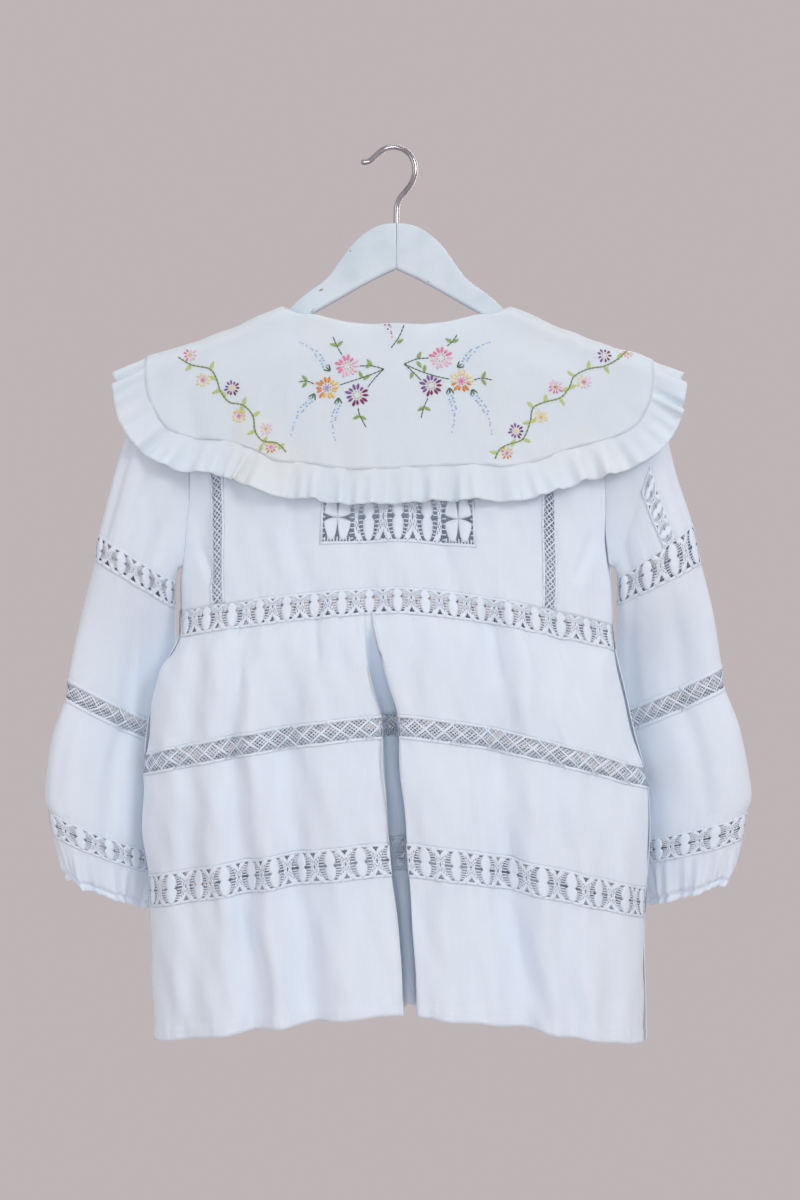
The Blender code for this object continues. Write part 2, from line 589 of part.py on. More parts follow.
# Hanger
def wood_half(name, side):
    work = bmesh.new()
    rings = []
    for x in WOOD_STATIONS:
        top, bottom = wood_top(x), wood_bottom(x)
        shrink = 0.0 if x < 0.1770 else (x - 0.1770) / 0.0030 * 0.35
        half = WOOD_THICKNESS / 2 * (1 - shrink)
        middle = (top + bottom) / 2
        top, bottom = mix(top, middle, shrink), mix(bottom, middle, shrink)
        c = WOOD_CORNER * (1 - shrink)
        outline = [(half, bottom + c), (half, top - c), (half - c, top), (-half + c, top),
                   (-half, top - c), (-half, bottom + c), (-half + c, bottom),
                   (half - c, bottom)]
        rings.append([work.verts.new((side * x, y, z)) for y, z in outline])
    for one, other in zip(rings, rings[1:]):
        for k in range(len(one)):
            n = (k + 1) % len(one)
            work.faces.new((one[k], other[k], other[n], one[n]))
    work.faces.new(rings[0])
    work.faces.new(list(reversed(rings[-1])))
    bmesh.ops.recalc_face_normals(work, faces=work.faces)
    wood = finish_mesh(name, work, "white paint")
    work = bmesh.new()
    bmesh.ops.create_cone(work, cap_ends=True, segments=16, radius1=SOCKET_RADIUS,
                          radius2=SOCKET_RADIUS, depth=0.04)
    bmesh.ops.translate(work, verts=work.verts, vec=(0, 0, SOCKET_BOTTOM + 0.02))
    mesh = bpy.data.meshes.new("socket")
    work.to_mesh(mesh)
    work.free()
    drill = bpy.data.objects.new("socket", mesh)
    blouse.objects.link(drill)
    cut = wood.modifiers.new("socket", "BOOLEAN")
    cut.operation = "DIFFERENCE"
    cut.solver = "EXACT"
    cut.object = drill
    bpy.context.view_layer.update()
    done = wood.evaluated_get(bpy.context.evaluated_depsgraph_get())
    mesh = bpy.data.meshes.new_from_object(done)
    wood.modifiers.clear()
    wood.data = mesh
    bpy.data.objects.remove(drill, do_unlink=True)
    return wood


def hook():
    work = bmesh.new()
    sides = 8
    points = [Vector((x, 0, z)) for x, z in HOOK_PATH]
    last = (points[-1] - points[-2]).normalized()
    stations = [(p, HOOK_RADIUS) for p in points]
    stations[0] = (points[0], HOOK_RADIUS)
    for ahead, share in ((0.0010, 0.90), (0.0019, 0.66), (0.0023, 0.34)):
        stations.append((points[-1] + last * ahead, HOOK_RADIUS * share))
    rings = []
    for k, (spot, radius) in enumerate(stations):
        ahead = stations[min(k + 1, len(stations) - 1)][0]
        behind = stations[max(k - 1, 0)][0]
        along = (ahead - behind).normalized()
        side = along.cross(Vector((0, 1, 0)))
        rings.append([work.verts.new(spot + radius * (math.cos(a) * side
                                                     + math.sin(a) * Vector((0, 1, 0))))
                      for a in (2 * math.pi * n / sides for n in range(sides))])
    for one, other in zip(rings, rings[1:]):
        for k in range(sides):
            n = (k + 1) % sides
            work.faces.new((one[k], one[n], other[n], other[k]))
    work.faces.new(list(reversed(rings[0])))
    work.faces.new(rings[-1])
    bmesh.ops.recalc_face_normals(work, faces=work.faces)
    return finish_mesh("hook", work, "steel")


wood_half("hanger_left", -1)
wood_half("hanger_right", 1)
hook()

# Upper back with its openwork inset
PANEL_TRIM = 0.0008
BACK_ACROSS = [-1.0, -0.95, -0.84, -0.70, -0.57, -0.53, -0.48, -0.43, -0.345, -0.24,
               -0.15, -0.07, 0.0, 0.07, 0.15, 0.22, 0.285, 0.36, 0.43, 0.48, 0.53,
               0.57, 0.70, 0.84, 0.95, 1.0]
BACK_DOWN = [PANEL_TRIM, 0.019, 0.038, 0.058, 0.12, 0.20, 0.31, 0.46, 0.64, 0.82, 0.9985]
INSET_COLUMNS = (8, 16)      # the inset fills these columns and rows of the back
INSET_ROWS = (8, 9)


def back_panel(u, v):
    return upper_point("back", u, v)


def front_panel(u, v):
    return upper_point("front", -u, v)


inset = [(i, j) for i in range(*INSET_COLUMNS) for j in range(*INSET_ROWS)]
shell("upper_back", back_panel, BACK_ACROSS, BACK_DOWN, "cotton", inset)
inset_u = (BACK_ACROSS[INSET_COLUMNS[0]] + 0.0018, BACK_ACROSS[INSET_COLUMNS[1]] - 0.0018)
inset_v = (BACK_DOWN[INSET_ROWS[0]] + 0.0014, BACK_DOWN[INSET_ROWS[1]] - 0.0014)
cut_band("yoke_inset", back_panel, *inset_u, *inset_v, 0.0145, ((0.16, 0.42), (0.58, 0.84)),
         (0, 0.30, 0.70, 1), (1,))
FRONT_HALF = [0.0, 0.07, 0.15, 0.25, 0.36, 0.46, 0.535, 0.545, 0.555, 0.57, 0.70, 0.84,
              0.95, 1.0]
FRONT_ACROSS = [-place for place in FRONT_HALF[:0:-1]] + FRONT_HALF
FRONT_DOWN = [PANEL_TRIM, 0.019, 0.038, 0.058, 0.16, 0.34, 0.56, 0.78, 0.9985]
shell("upper_front", front_panel, FRONT_ACROSS, FRONT_DOWN, "cotton")

# Narrow lace strips laid on the upper back
BACK_STRIPS = [  # (name, place across at the top, at the bottom)
    ("lace_strip_left", -0.920, -0.810), ("lace_strip_right", 0.790, 0.694),
]
STRIP_SHARE = 0.066      # width of a strip as a share of half the back
for name, high, low in BACK_STRIPS:
    def strip(u, v, high=high, low=low):
        return upper_point("back", mix(high, low, v) + (u - 0.5) * STRIP_SHARE, v, NEXT_LAYER)

    shell(name, strip, [0.0, 0.5, 1.0], steps(0.22, 0.997, 5), "lace")

# Tiers and openwork bands of the body
def middle_skirt(face):
    return lambda u, level: body_point(face, u, level)


BACK_U = (evenly(middle_skirt("back"), BAND_3[0], 0.0, LIP_LEFT,
                 [0, 0.03] + steps(0.08, 1, 16))[:-1]
          + steps(LIP_LEFT, LIP_RIGHT, 6)[:-1]
          + evenly(middle_skirt("back"), BAND_3[0], LIP_RIGHT, 1.0,
                   steps(0, 0.92, 16) + [0.97, 1]))
FRONT_U = evenly(middle_skirt("front"), BAND_3[0], 0.0, 1.0,
                 [0, 0.015] + steps(0.04, 0.96, 23) + [0.985, 1])
OVALS = ((0.11, 0.33), (0.67, 0.89))
for face, columns in (("back", BACK_U), ("front", FRONT_U)):
    def skirt(u, level, face=face):
        return body_point(face, u, level)

    def trimmed(level, columns=columns, skirt=skirt):
        low = side_trim(skirt, level, 0.0, 1.0)
        high = side_trim(skirt, level, 1.0, 0.0)
        return [low] + columns[1:-1] + [1.0 + high]

    few = 3 if face == "back" else 2
    row_sets = {"tier_1": (BAND_1[1], BAND_2[0], few), "tier_2": (BAND_2[1], BAND_3[0], 2),
                "hem_tier": (BAND_3[1], HEM, 3)}
    for tier, (top, bottom, rows) in row_sets.items():
        low = bottom + (HALF_GAP if tier != "hem_tier" else 0.0)
        shell(tier + "_" + face, skirt, trimmed((top + bottom) / 2),
              steps(top - HALF_GAP, low, rows), "cotton")
    shell("band_2_" + face, skirt, trimmed(BAND_2[0]),
          steps(BAND_2[0] - HALF_GAP, BAND_2[1] + HALF_GAP, 1), "lace")
    ends = (side_trim(skirt, BAND_1[0], 0.0, 1.0), 1.0 + side_trim(skirt, BAND_1[0], 1.0, 0.0))
    cut_band("band_1_" + face, skirt, *ends, BAND_1[0] - HALF_GAP, BAND_1[1] + HALF_GAP,
             0.0250, ((0.36, 0.64),), (0, 0.30, 0.70, 1), (1,))
    cut_band("band_3_" + face, skirt, *ends, BAND_3[0] - HALF_GAP, BAND_3[1] + HALF_GAP,
             0.0270, OVALS, (0, 0.36, 0.64, 1), (1,))

# Sleeves
AROUND = steps(0.0, 1.0, SLEEVE_COLUMNS)
for side in ("left", "right"):
    def sleeve(u, ring, side=side):
        return sleeve_point(side, u, ring)

    def faceted(u, ring, side=side):
        i = math.floor(u * SLEEVE_COLUMNS)
        return sleeve_point(side, i / SLEEVE_COLUMNS, ring).lerp(
            sleeve_point(side, (i + 1) / SLEEVE_COLUMNS, ring), u * SLEEVE_COLUMNS - i)

    def gathered(u, ring, side=side, faceted=faceted):
        point = faceted(u, ring)
        middle = sum((sleeve_point(side, k / 8, ring) for k in range(8)), Vector()) / 8
        out = (point - middle).normalized()
        gather = ease((ring - 11.0) / 1.6) * CUFF_SWING
        return point + out * (gather * math.sin(2 * math.pi * CUFF_GATHERS * u))

    def trim(ring, sleeve=sleeve):
        """Share of a ring step that a piece gives up at a seam, at the tightest place."""
        least = min((sleeve(u / 8, ring + 0.02) - sleeve(u / 8, ring - 0.02)).length
                    for u in range(8))
        return SLEEVE_TRIM / least * 0.04

    names = ("upper", 0, 3), ("middle", 4, 6), ("lower", 7, 10)
    for name, first, last in names:
        start = first + (trim(first) if first else 0.0)
        shell("sleeve_" + name + "_" + side, sleeve, AROUND,
              steps(start, last - trim(last), 3 if name != "middle" else 2), "cotton",
              closed=True,
              first_normal=None if first else lambda u, side=side: armhole_normal(side, u))
    first, last = SEAM_RINGS["band_b"]
    shell("sleeve_band_b_" + side, sleeve, AROUND, [first + trim(first), last - trim(last)],
          "lace", closed=True)
    for band in ("band_a", "band_c"):
        first, last = SEAM_RINGS[band]
        for half, start, end in (("one", 0.0, 0.5), ("other", 0.5, 1.0)):
            face = {"leftone": "back", "leftother": "front",
                    "rightone": "front", "rightother": "back"}[side + half]
            cut_band("sleeve_" + band + "_" + side + "_" + face, faceted, start + 0.0012,
                     end - 0.0012, first + trim(first), last - trim(last), 0.0265,
                     ((0.35, 0.65),), (0, 0.28, 0.72, 1), (1,), wrap=0.02)
    high, low = {"left": (0.88, 0.90), "right": (0.77, 0.795)}[side]

    def strip(u, ring, side=side, high=high, low=low):
        place = mix(high, low, ring / 3) + (u - 0.5) * 0.040
        here = faceted(place, ring)
        across = faceted(place + 0.01, ring) - faceted(place - 0.01, ring)
        down = faceted(place, ring + 0.05) - faceted(place, ring - 0.05)
        return here + down.cross(across).normalized() * NEXT_LAYER

    shell("sleeve_strip_" + side, strip, [0.0, 0.5, 1.0], steps(1.05, 2.98, 4), "lace")
    shell("sleeve_cuff_" + side, gathered,
          [(k + 0.5) / (4 * CUFF_GATHERS) for k in range(4 * CUFF_GATHERS + 1)],
          [11 + trim(11), 12.2, 12.999], "cotton", closed=True)

# Collar and its ruffle
half_seam = HALF_GAP / 0.10
COLLAR_HALF = [0.0, 0.11, 0.22, 0.32, 0.42, 0.52, 0.61, 0.70, 0.77, 0.83, 0.88, 0.92, 0.95,
               0.98, 1.0, 1.02, 1.04, COLLAR_SEAM - half_seam]
back_p = [-p for p in COLLAR_HALF[:0:-1]] + COLLAR_HALF


def collar_back(u, v):
    return collar_point(u, v)


def collar_front(u, v):
    return collar_point(u if u <= 2 else u - 4, v)


COLLAR_ROWS = [0, 0.08, 0.2, 0.4, 0.7, 1]
shell("collar_back", collar_back, back_p, COLLAR_ROWS, "collar cotton")
front_half = [COLLAR_SEAM + half_seam, 1.08, 1.11, 1.16, 1.23, 1.32, 1.44, 1.56, 1.70, 1.84]
front_p = front_half + [2.0] + [4 - p for p in reversed(front_half)]
shell("collar_front", collar_front, front_p, COLLAR_ROWS, "collar cotton")


def ruffle(name, start, end, waves):
    fine = evenly(collar_front if end > 2 else collar_back, 1.0, start, end, steps(0, 1, 240))
    shares_of = curve([(p, k / 240) for k, p in enumerate(fine)])
    marks = [(k + 0.28 * math.sin(2.4 * k)) / waves if 0 < k < waves else k / waves
             for k in range(waves + 1)]
    shares, phases = [], []
    for k in range(waves):
        for quarter in (0.125, 0.375, 0.625, 0.875):
            shares.append(mix(marks[k], marks[k + 1], quarter))
            phases.append(k + quarter)
    shares = [0.0] + shares + [1.0]
    phases = [0.0] + phases + [float(waves)]
    phase_at = curve(list(zip(shares, phases)))

    def strip(p, r):
        return ruffle_point(p if p <= 2 else p - 4, r, phase_at(shares_of(p)))

    us = evenly(collar_front if end > 2 else collar_back, 1.0, start, end, shares)
    shell(name, strip, us, [0.0, 1.0], "collar cotton")


ruffle("ruffle_back", -COLLAR_SEAM + half_seam, COLLAR_SEAM - half_seam, RUFFLE_WAVES_BACK)
ruffle("ruffle_front", COLLAR_SEAM + half_seam, 4 - COLLAR_SEAM - half_seam,
       RUFFLE_WAVES_FRONT)

bpy.context.view_layer.update()
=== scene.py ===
"""The looks of a prairie blouse on a wooden hanger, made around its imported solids.

Metres, +Z up, as in the frame: -Y is the side that shows the blouse's back.
"""

import math

import bmesh
import bpy
import numpy as np
from mathutils import Matrix, Vector
from mathutils.bvhtree import BVHTree


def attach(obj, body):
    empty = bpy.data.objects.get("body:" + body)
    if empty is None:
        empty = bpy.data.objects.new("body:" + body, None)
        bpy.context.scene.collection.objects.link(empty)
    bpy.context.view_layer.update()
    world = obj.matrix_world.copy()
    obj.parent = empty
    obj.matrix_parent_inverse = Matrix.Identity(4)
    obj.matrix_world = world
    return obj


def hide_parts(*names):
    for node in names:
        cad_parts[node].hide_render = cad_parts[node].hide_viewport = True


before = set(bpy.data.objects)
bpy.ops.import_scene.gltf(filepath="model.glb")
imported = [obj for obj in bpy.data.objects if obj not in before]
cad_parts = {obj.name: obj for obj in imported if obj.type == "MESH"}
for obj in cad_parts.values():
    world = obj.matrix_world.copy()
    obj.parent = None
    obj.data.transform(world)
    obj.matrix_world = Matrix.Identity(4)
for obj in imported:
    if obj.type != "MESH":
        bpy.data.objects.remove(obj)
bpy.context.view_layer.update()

CLOTH = 0.0007          # thickness of the cloth that shows
LACE = 0.0002           # thickness of a lace thread's ribbon
ARMHOLE_GAP = -0.0012   # the sleeve starts this far in on the panels' edge

# Ridge of the cloth over the hanger, by distance from the middle.
RIDGE = [  # (x, z)
    (0.0000, -0.1180), (0.0500, -0.1235), (0.0952, -0.1357), (0.1430, -0.1580),
    (0.1840, -0.1745), (0.2000, -0.1800), (0.2140, -0.1850), (0.2400, -0.1970),
]
RIDGE_RADIUS = 0.0085   # bend of the cloth over the hanger's edge
TIP_X = 0.1900          # the armhole crosses the ridge here
SHOULDER_RUN = 0.035    # length of cloth over which it leaves the hanger for the body

# Half-width of the back and front panels: the armhole edge, then the side seam.
PANEL_WIDTH = [  # (z, x)
    (-0.1745, 0.1900), (-0.2000, 0.1850), (-0.2400, 0.1785), (-0.2800, 0.1765),
    (-0.3200, 0.1780), (-0.3520, 0.1815), (-0.3750, 0.1835), (-0.4100, 0.1845),
]
ARMPIT_Z = -0.3520

# Half the depth of the upper body at its middle and at its edges.
UPPER_DEPTH = [  # (z, middle, edge, fullness of the edge: 1 is lean, 0.5 is round)
    (-0.1300, 0.0100, 0.0085, 1.00), (-0.1500, 0.0115, 0.0085, 1.00),
    (-0.1900, 0.0180, 0.0080, 1.00), (-0.2400, 0.0250, 0.0060, 0.90),
    (-0.2900, 0.0300, 0.0040, 0.80), (-0.3400, 0.0345, 0.0022, 0.62),
    (-0.3730, 0.0360, 0.0017, 0.50), (-0.4100, 0.0370, 0.0017, 0.50),
]

# Top edge of each panel, from the middle to the shoulder tip. h is the distance from
# the ridge along the cloth, plus down the back and minus down the front.
BACK_TOP = [  # (share of the panel's half-width, x, h)
    (0.00, 0.0000, 0.0359), (0.18, 0.0300, 0.0335), (0.33, 0.0547, 0.0258),
    (0.43, 0.0745, 0.0175), (0.48, 0.0860, 0.0135), (0.53, 0.0945, 0.0065),
    (0.57, 0.0990, 0.0000), (1.00, 0.1900, 0.0000),
]
FRONT_TOP = [
    (0.00, 0.0000, -0.1630), (0.15, 0.0270, -0.1560), (0.30, 0.0550, -0.1350),
    (0.42, 0.0780, -0.1020), (0.50, 0.0905, -0.0650), (0.535, 0.0948, -0.0300),
    (0.545, 0.0963, -0.0135), (0.555, 0.0977, -0.0065), (0.57, 0.0990, 0.0000),
    (1.00, 0.1900, 0.0000),
]

# Rings of the body below the armholes, by the height of their middle: half-widths,
# half-depths, and how far the seam lines fall from the middle to each side.
BODY = [  # (level, left, right, back, front, drop_left, drop_right)
    (-0.3730, 0.1835, 0.1835, 0.0360, 0.0360, 0.0190, 0.0310),
    (-0.3930, 0.1845, 0.1855, 0.0372, 0.0365, 0.0200, 0.0320),
    (-0.4120, 0.1990, 0.1900, 0.0420, 0.0400, 0.0270, 0.0380),
    (-0.4450, 0.2090, 0.1990, 0.0470, 0.0440, 0.0330, 0.0440),
    (-0.4785, 0.2135, 0.2085, 0.0490, 0.0460, 0.0345, 0.0460),
    (-0.4960, 0.2150, 0.2120, 0.0500, 0.0470, 0.0345, 0.0460),
    (-0.5400, 0.2140, 0.2145, 0.0560, 0.0520, 0.0340, 0.0450),
    (-0.5830, 0.2105, 0.2130, 0.0570, 0.0530, 0.0330, 0.0440),
    (-0.6085, 0.2097, 0.2120, 0.0580, 0.0540, 0.0330, 0.0420),
    (-0.6550, 0.2077, 0.2105, 0.0620, 0.0580, 0.0330, 0.0390),
    (-0.7220, 0.2035, 0.2088, 0.0660, 0.0620, 0.0320, 0.0350),
]
BAND_1 = (-0.3730, -0.3930)
BAND_2 = (-0.4785, -0.4960)
BAND_3 = (-0.5830, -0.6085)
HEM = -0.7220
SIDE_POWER = 3.0        # squareness of the body's plan
DROP_POWER = 1.5        # how the seam lines fall towards the sides
FOLD_FADE = 8           # how late the folds die out towards the side seams

# Soft folds: place across the body at the first band, the second and the hem,
# half-width, and how far the cloth stands out at those three heights.
FOLD_LEVELS = (-0.3730, -0.4000, -0.4785, -0.7220)
BACK_FOLDS = [  # (x_top, x_mid, x_hem, half_width, out_top, out_mid, out_hem)
    (-0.170, -0.174, -0.170, 0.015, -0.001, -0.004, -0.006),
    (-0.150, -0.152, -0.143, 0.020, 0.001, 0.004, 0.007),
    (-0.128, -0.138, -0.116, 0.016, -0.002, -0.006, -0.009),
    (-0.108, -0.120, -0.092, 0.016, 0.002, 0.006, 0.010),
    (-0.086, -0.093, -0.068, 0.018, -0.003, -0.007, -0.010),
    (-0.056, -0.060, -0.036, 0.024, 0.002, 0.006, 0.008),
    (0.032, 0.034, 0.048, 0.024, 0.002, 0.006, 0.009),
    (0.077, 0.081, 0.104, 0.022, -0.004, -0.009, -0.013),
    (0.102, 0.110, 0.134, 0.015, 0.003, 0.005, 0.005),
    (0.134, 0.144, 0.165, 0.018, 0.002, 0.005, 0.007),
    (0.158, 0.168, 0.184, 0.014, -0.001, -0.003, -0.004),
]
FRONT_FOLDS = [
    (-0.150, -0.160, -0.152, 0.022, -0.001, -0.005, -0.009),
    (-0.118, -0.124, -0.114, 0.022, 0.001, 0.006, 0.010),
    (-0.082, -0.086, -0.076, 0.022, -0.002, -0.007, -0.011),
    (-0.046, -0.048, -0.042, 0.024, 0.002, 0.005, 0.009),
    (-0.008, -0.006, 0.000, 0.024, -0.002, -0.007, -0.011),
    (0.032, 0.036, 0.042, 0.026, 0.002, 0.006, 0.010),
    (0.074, 0.080, 0.084, 0.023, -0.002, -0.006, -0.010),
    (0.112, 0.120, 0.124, 0.024, 0.001, 0.006, 0.009),
    (0.150, 0.160, 0.160, 0.020, -0.001, -0.005, -0.007),
]

# The deep fold down the middle of the back: its two lips and how far it runs in.
CLEFT = [  # (level, x_left_lip, x_right_lip, depth)
    (-0.3730, -0.0270, -0.0210, 0.0000),
    (-0.3930, -0.0268, -0.0200, 0.0012),
    (-0.4250, -0.0245, -0.0150, 0.0120),
    (-0.4500, -0.0190, -0.0070, 0.0220),
    (-0.4785, -0.0120, 0.0010, 0.0310),
    (-0.5200, -0.0090, 0.0040, 0.0380),
    (-0.5830, -0.0050, 0.0080, 0.0430),
    (-0.6300, 0.0010, 0.0120, 0.0460),
    (-0.6700, 0.0050, 0.0150, 0.0470),
    (-0.7220, 0.0070, 0.0190, 0.0480),
]
LIP_LEFT = 0.42         # share of the back's width, along the cloth, up to each lip
LIP_RIGHT = 0.58
CLEFT_ROUND = 0.6       # roundness of its lips and its bottom

# Collar, from the middle of the back over the shoulder to the middle of the front:
# its neck edge, and its outer edge left and right. h as above.
COLLAR = [  # (around, x_neck, h_neck, x_left, h_left, x_right, h_right)
    (0.00, 0.0000, 0.0359, 0.0000, 0.1580, 0.0000, 0.1580),
    (0.15, 0.0200, 0.0350, 0.0400, 0.1547, 0.0430, 0.1512),
    (0.28, 0.0400, 0.0312, 0.0720, 0.1440, 0.0720, 0.1450),
    (0.40, 0.0560, 0.0252, 0.0980, 0.1330, 0.0980, 0.1375),
    (0.52, 0.0690, 0.0190, 0.1200, 0.1130, 0.1230, 0.1190),
    (0.64, 0.0810, 0.0148, 0.1460, 0.0930, 0.1510, 0.0960),
    (0.76, 0.0910, 0.0090, 0.1750, 0.0780, 0.1800, 0.0770),
    (0.86, 0.0960, 0.0042, 0.1970, 0.0560, 0.2020, 0.0560),
    (0.94, 0.0983, -0.0010, 0.2080, 0.0280, 0.2130, 0.0280),
    (1.02, 0.0992, -0.0085, 0.2100, 0.0000, 0.2150, 0.0000),
    (1.10, 0.0990, -0.0180, 0.2080, -0.0280, 0.2130, -0.0280),
    (1.22, 0.0976, -0.0380, 0.1960, -0.0570, 0.1990, -0.0570),
    (1.36, 0.0900, -0.0690, 0.1740, -0.0910, 0.1760, -0.0910),
    (1.50, 0.0780, -0.1025, 0.1430, -0.1340, 0.1440, -0.1340),
    (1.66, 0.0550, -0.1355, 0.0980, -0.1790, 0.0980, -0.1790),
    (1.82, 0.0270, -0.1562, 0.0480, -0.2060, 0.0480, -0.2060),
    (2.00, 0.0000, -0.1632, 0.0000, -0.2150, 0.0000, -0.2150),
]
COLLAR_SEAM = 1.06      # back and front halves of the collar meet here
COLLAR_LIFT = 0.0030    # outer face of the collar above the panel at the neck
COLLAR_STAND = 0.0052   # how much further it stands off at its edge
COLLAR_LEAST = 0.0105   # it never lies flatter than this over the armhole
RUFFLE_WIDTH = 0.0310
RUFFLE_SWING = 0.0046   # how far its gathers swing to each side
RUFFLE_UNEVEN = 0.25    # share of the swing that differs from gather to gather
RUFFLE_WAVES_BACK = 22
RUFFLE_WAVES_FRONT = 15
RUFFLE_GAP = 0.0011     # between the collar's edge and the strip
RUFFLE_FALL = [  # (around, outward, down, off the body)
    (0.00, 0.00, 1.00, 0.20), (0.40, 0.12, 1.00, 0.22), (0.52, 0.45, 0.85, 0.24),
    (0.64, 0.30, 0.92, 0.22), (0.76, 0.40, 0.80, 0.20), (0.86, 0.72, 0.62, 0.16),
    (0.94, 0.84, 0.46, 0.08), (1.02, 0.86, 0.44, 0.00), (1.10, 0.84, 0.46, 0.10),
    (1.22, 0.76, 0.64, 0.18), (1.36, 0.60, 0.78, 0.22), (1.50, 0.40, 0.90, 0.22),
    (1.66, 0.20, 0.98, 0.20), (2.00, 0.00, 1.00, 0.20),
]

# Sleeves: where each ring lies on the outer and the inner side of the arm, and half
# its depth towards the back and the front.
SLEEVE_LEFT = [  # (x_out, y_out, z_out, x_in, y_in, z_in, back, front)
    (0.2240, 0.0000, -0.2270, 0.1856, 0.0006, -0.3556, 0.0150, 0.0150),   # cap
    (0.2370, 0.0000, -0.2672, 0.1872, 0.0020, -0.3605, 0.0220, 0.0240),
    (0.2519, 0.0000, -0.3284, 0.1888, 0.0040, -0.3680, 0.0260, 0.0280),   # band a, top
    (0.2545, 0.0000, -0.3470, 0.1900, 0.0120, -0.3880, 0.0260, 0.0290),   # band a, bottom
    (0.2680, 0.0000, -0.4000, 0.1920, 0.0430, -0.4480, 0.0240, 0.0320),
    (0.2783, 0.0000, -0.4508, 0.1945, 0.0480, -0.4970, 0.0240, 0.0320),   # band b, top
    (0.2802, 0.0000, -0.4660, 0.1955, 0.0490, -0.5130, 0.0240, 0.0320),   # band b, bottom
    (0.2925, 0.0000, -0.5000, 0.1985, 0.0490, -0.5480, 0.0330, 0.0380),
    (0.2983, 0.0000, -0.5450, 0.2010, 0.0480, -0.5880, 0.0360, 0.0400),
    (0.2948, 0.0000, -0.5610, 0.2045, 0.0460, -0.6030, 0.0350, 0.0390),   # band c, top
    (0.2919, 0.0000, -0.5800, 0.2065, 0.0440, -0.6200, 0.0320, 0.0350),   # band c, bottom
    (0.2850, 0.0000, -0.6070, 0.2105, 0.0400, -0.6390, 0.0270, 0.0290),
    (0.2791, 0.0000, -0.6190, 0.2140, 0.0380, -0.6500, 0.0230, 0.0250),   # cuff
]
SLEEVE_RIGHT = [
    (0.2270, 0.0000, -0.2270, 0.1856, 0.0006, -0.3556, 0.0150, 0.0150),
    (0.2400, 0.0000, -0.2800, 0.1872, 0.0020, -0.3600, 0.0220, 0.0240),
    (0.2520, 0.0000, -0.3200, 0.1888, 0.0040, -0.3650, 0.0260, 0.0280),
    (0.2585, 0.0000, -0.3500, 0.1900, 0.0120, -0.3850, 0.0260, 0.0290),
    (0.2690, 0.0000, -0.3950, 0.1920, 0.0430, -0.4400, 0.0240, 0.0320),
    (0.2768, 0.0000, -0.4400, 0.1940, 0.0480, -0.4820, 0.0240, 0.0320),
    (0.2785, 0.0000, -0.4570, 0.1950, 0.0490, -0.4990, 0.0240, 0.0320),
    (0.2920, 0.0000, -0.4950, 0.1985, 0.0490, -0.5350, 0.0330, 0.0380),
    (0.3012, 0.0000, -0.5450, 0.2015, 0.0480, -0.5760, 0.0360, 0.0400),
    (0.2981, 0.0000, -0.5630, 0.2050, 0.0460, -0.5920, 0.0350, 0.0390),
    (0.2947, 0.0000, -0.5834, 0.2075, 0.0440, -0.6110, 0.0320, 0.0350),
    (0.2880, 0.0000, -0.6090, 0.2120, 0.0400, -0.6350, 0.0270, 0.0290),
    (0.2819, 0.0000, -0.6208, 0.2160, 0.0380, -0.6478, 0.0230, 0.0250),
]

WOOD_THICKNESS = 0.0106
WOOD_TOP = [  # (x, z)
    (0.0000, -0.0628), (0.0085, -0.0634), (0.0169, -0.0656), (0.0303, -0.0739),
    (0.0403, -0.0840), (0.0488, -0.0958), (0.0573, -0.1078), (0.0656, -0.1151),
    (0.0740, -0.1210), (0.0824, -0.1276), (0.0955, -0.1395), (0.1430, -0.1614),
    (0.1740, -0.1736), (0.1790, -0.1775),
]
WOOD_BOTTOM = [
    (0.0000, -0.1017), (0.0200, -0.1112), (0.0522, -0.1292), (0.0950, -0.1530),
    (0.1430, -0.1780), (0.1720, -0.1905), (0.1790, -0.1880),
]
WOOD_START = 0.00015     # each half starts this far off the middle line
HOOK_RADIUS = 0.00235
HOOK_PATH = [  # (x, z) of the wire's middle from inside the wood to the tip
    (0.0000, -0.0800), (0.0000, -0.0560), (0.0006, -0.0475), (0.0032, -0.0408),
    (0.0078, -0.0353), (0.0122, -0.0295), (0.0150, -0.0228), (0.0159, -0.0160),
    (0.0145, -0.0095), (0.0108, -0.0036), (0.0052, 0.0006), (-0.0014, 0.0024),
    (-0.0078, 0.0015), (-0.0134, -0.0014), (-0.0184, -0.0060), (-0.0232, -0.0098),
    (-0.0278, -0.0106),
]


def curve(rows, column=1):
    """A smooth line through (row[0], row[column]) that never overshoots."""
    pairs = sorted((row[0], row[column]) for row in rows)
    xs = [x for x, _ in pairs]
    ys = [y for _, y in pairs]
    steep = [(ys[i + 1] - ys[i]) / (xs[i + 1] - xs[i]) for i in range(len(xs) - 1)]
    slopes = [steep[0]]
    for before, after in zip(steep, steep[1:]):
        slopes.append(2 * before * after / (before + after) if before * after > 0 else 0.0)
    slopes.append(steep[-1])

    def at(x):
        if x <= xs[0]:
            return ys[0]
        if x >= xs[-1]:
            return ys[-1]
        i = max(k for k in range(len(xs) - 1) if xs[k] <= x)
        width = xs[i + 1] - xs[i]
        t = (x - xs[i]) / width
        return (ys[i] * (1 + 2 * t) * (1 - t) ** 2 + ys[i + 1] * t * t * (3 - 2 * t)
                + width * t * (1 - t) * (slopes[i] * (1 - t) - slopes[i + 1] * t))
    return at


def curves(rows):
    return [curve(rows, column) for column in range(1, len(rows[0]))]


def mix(a, b, t):
    return a + (b - a) * t


def ease(t):
    """A step from 0 to 1, slow at both ends."""
    t = min(max(t, 0.0), 1.0)
    return t * t * (3 - 2 * t)


def eased(shares):
    """The same for a whole grid of numbers."""
    shares = np.clip(shares, 0, 1)
    return shares * shares * (3 - 2 * shares)


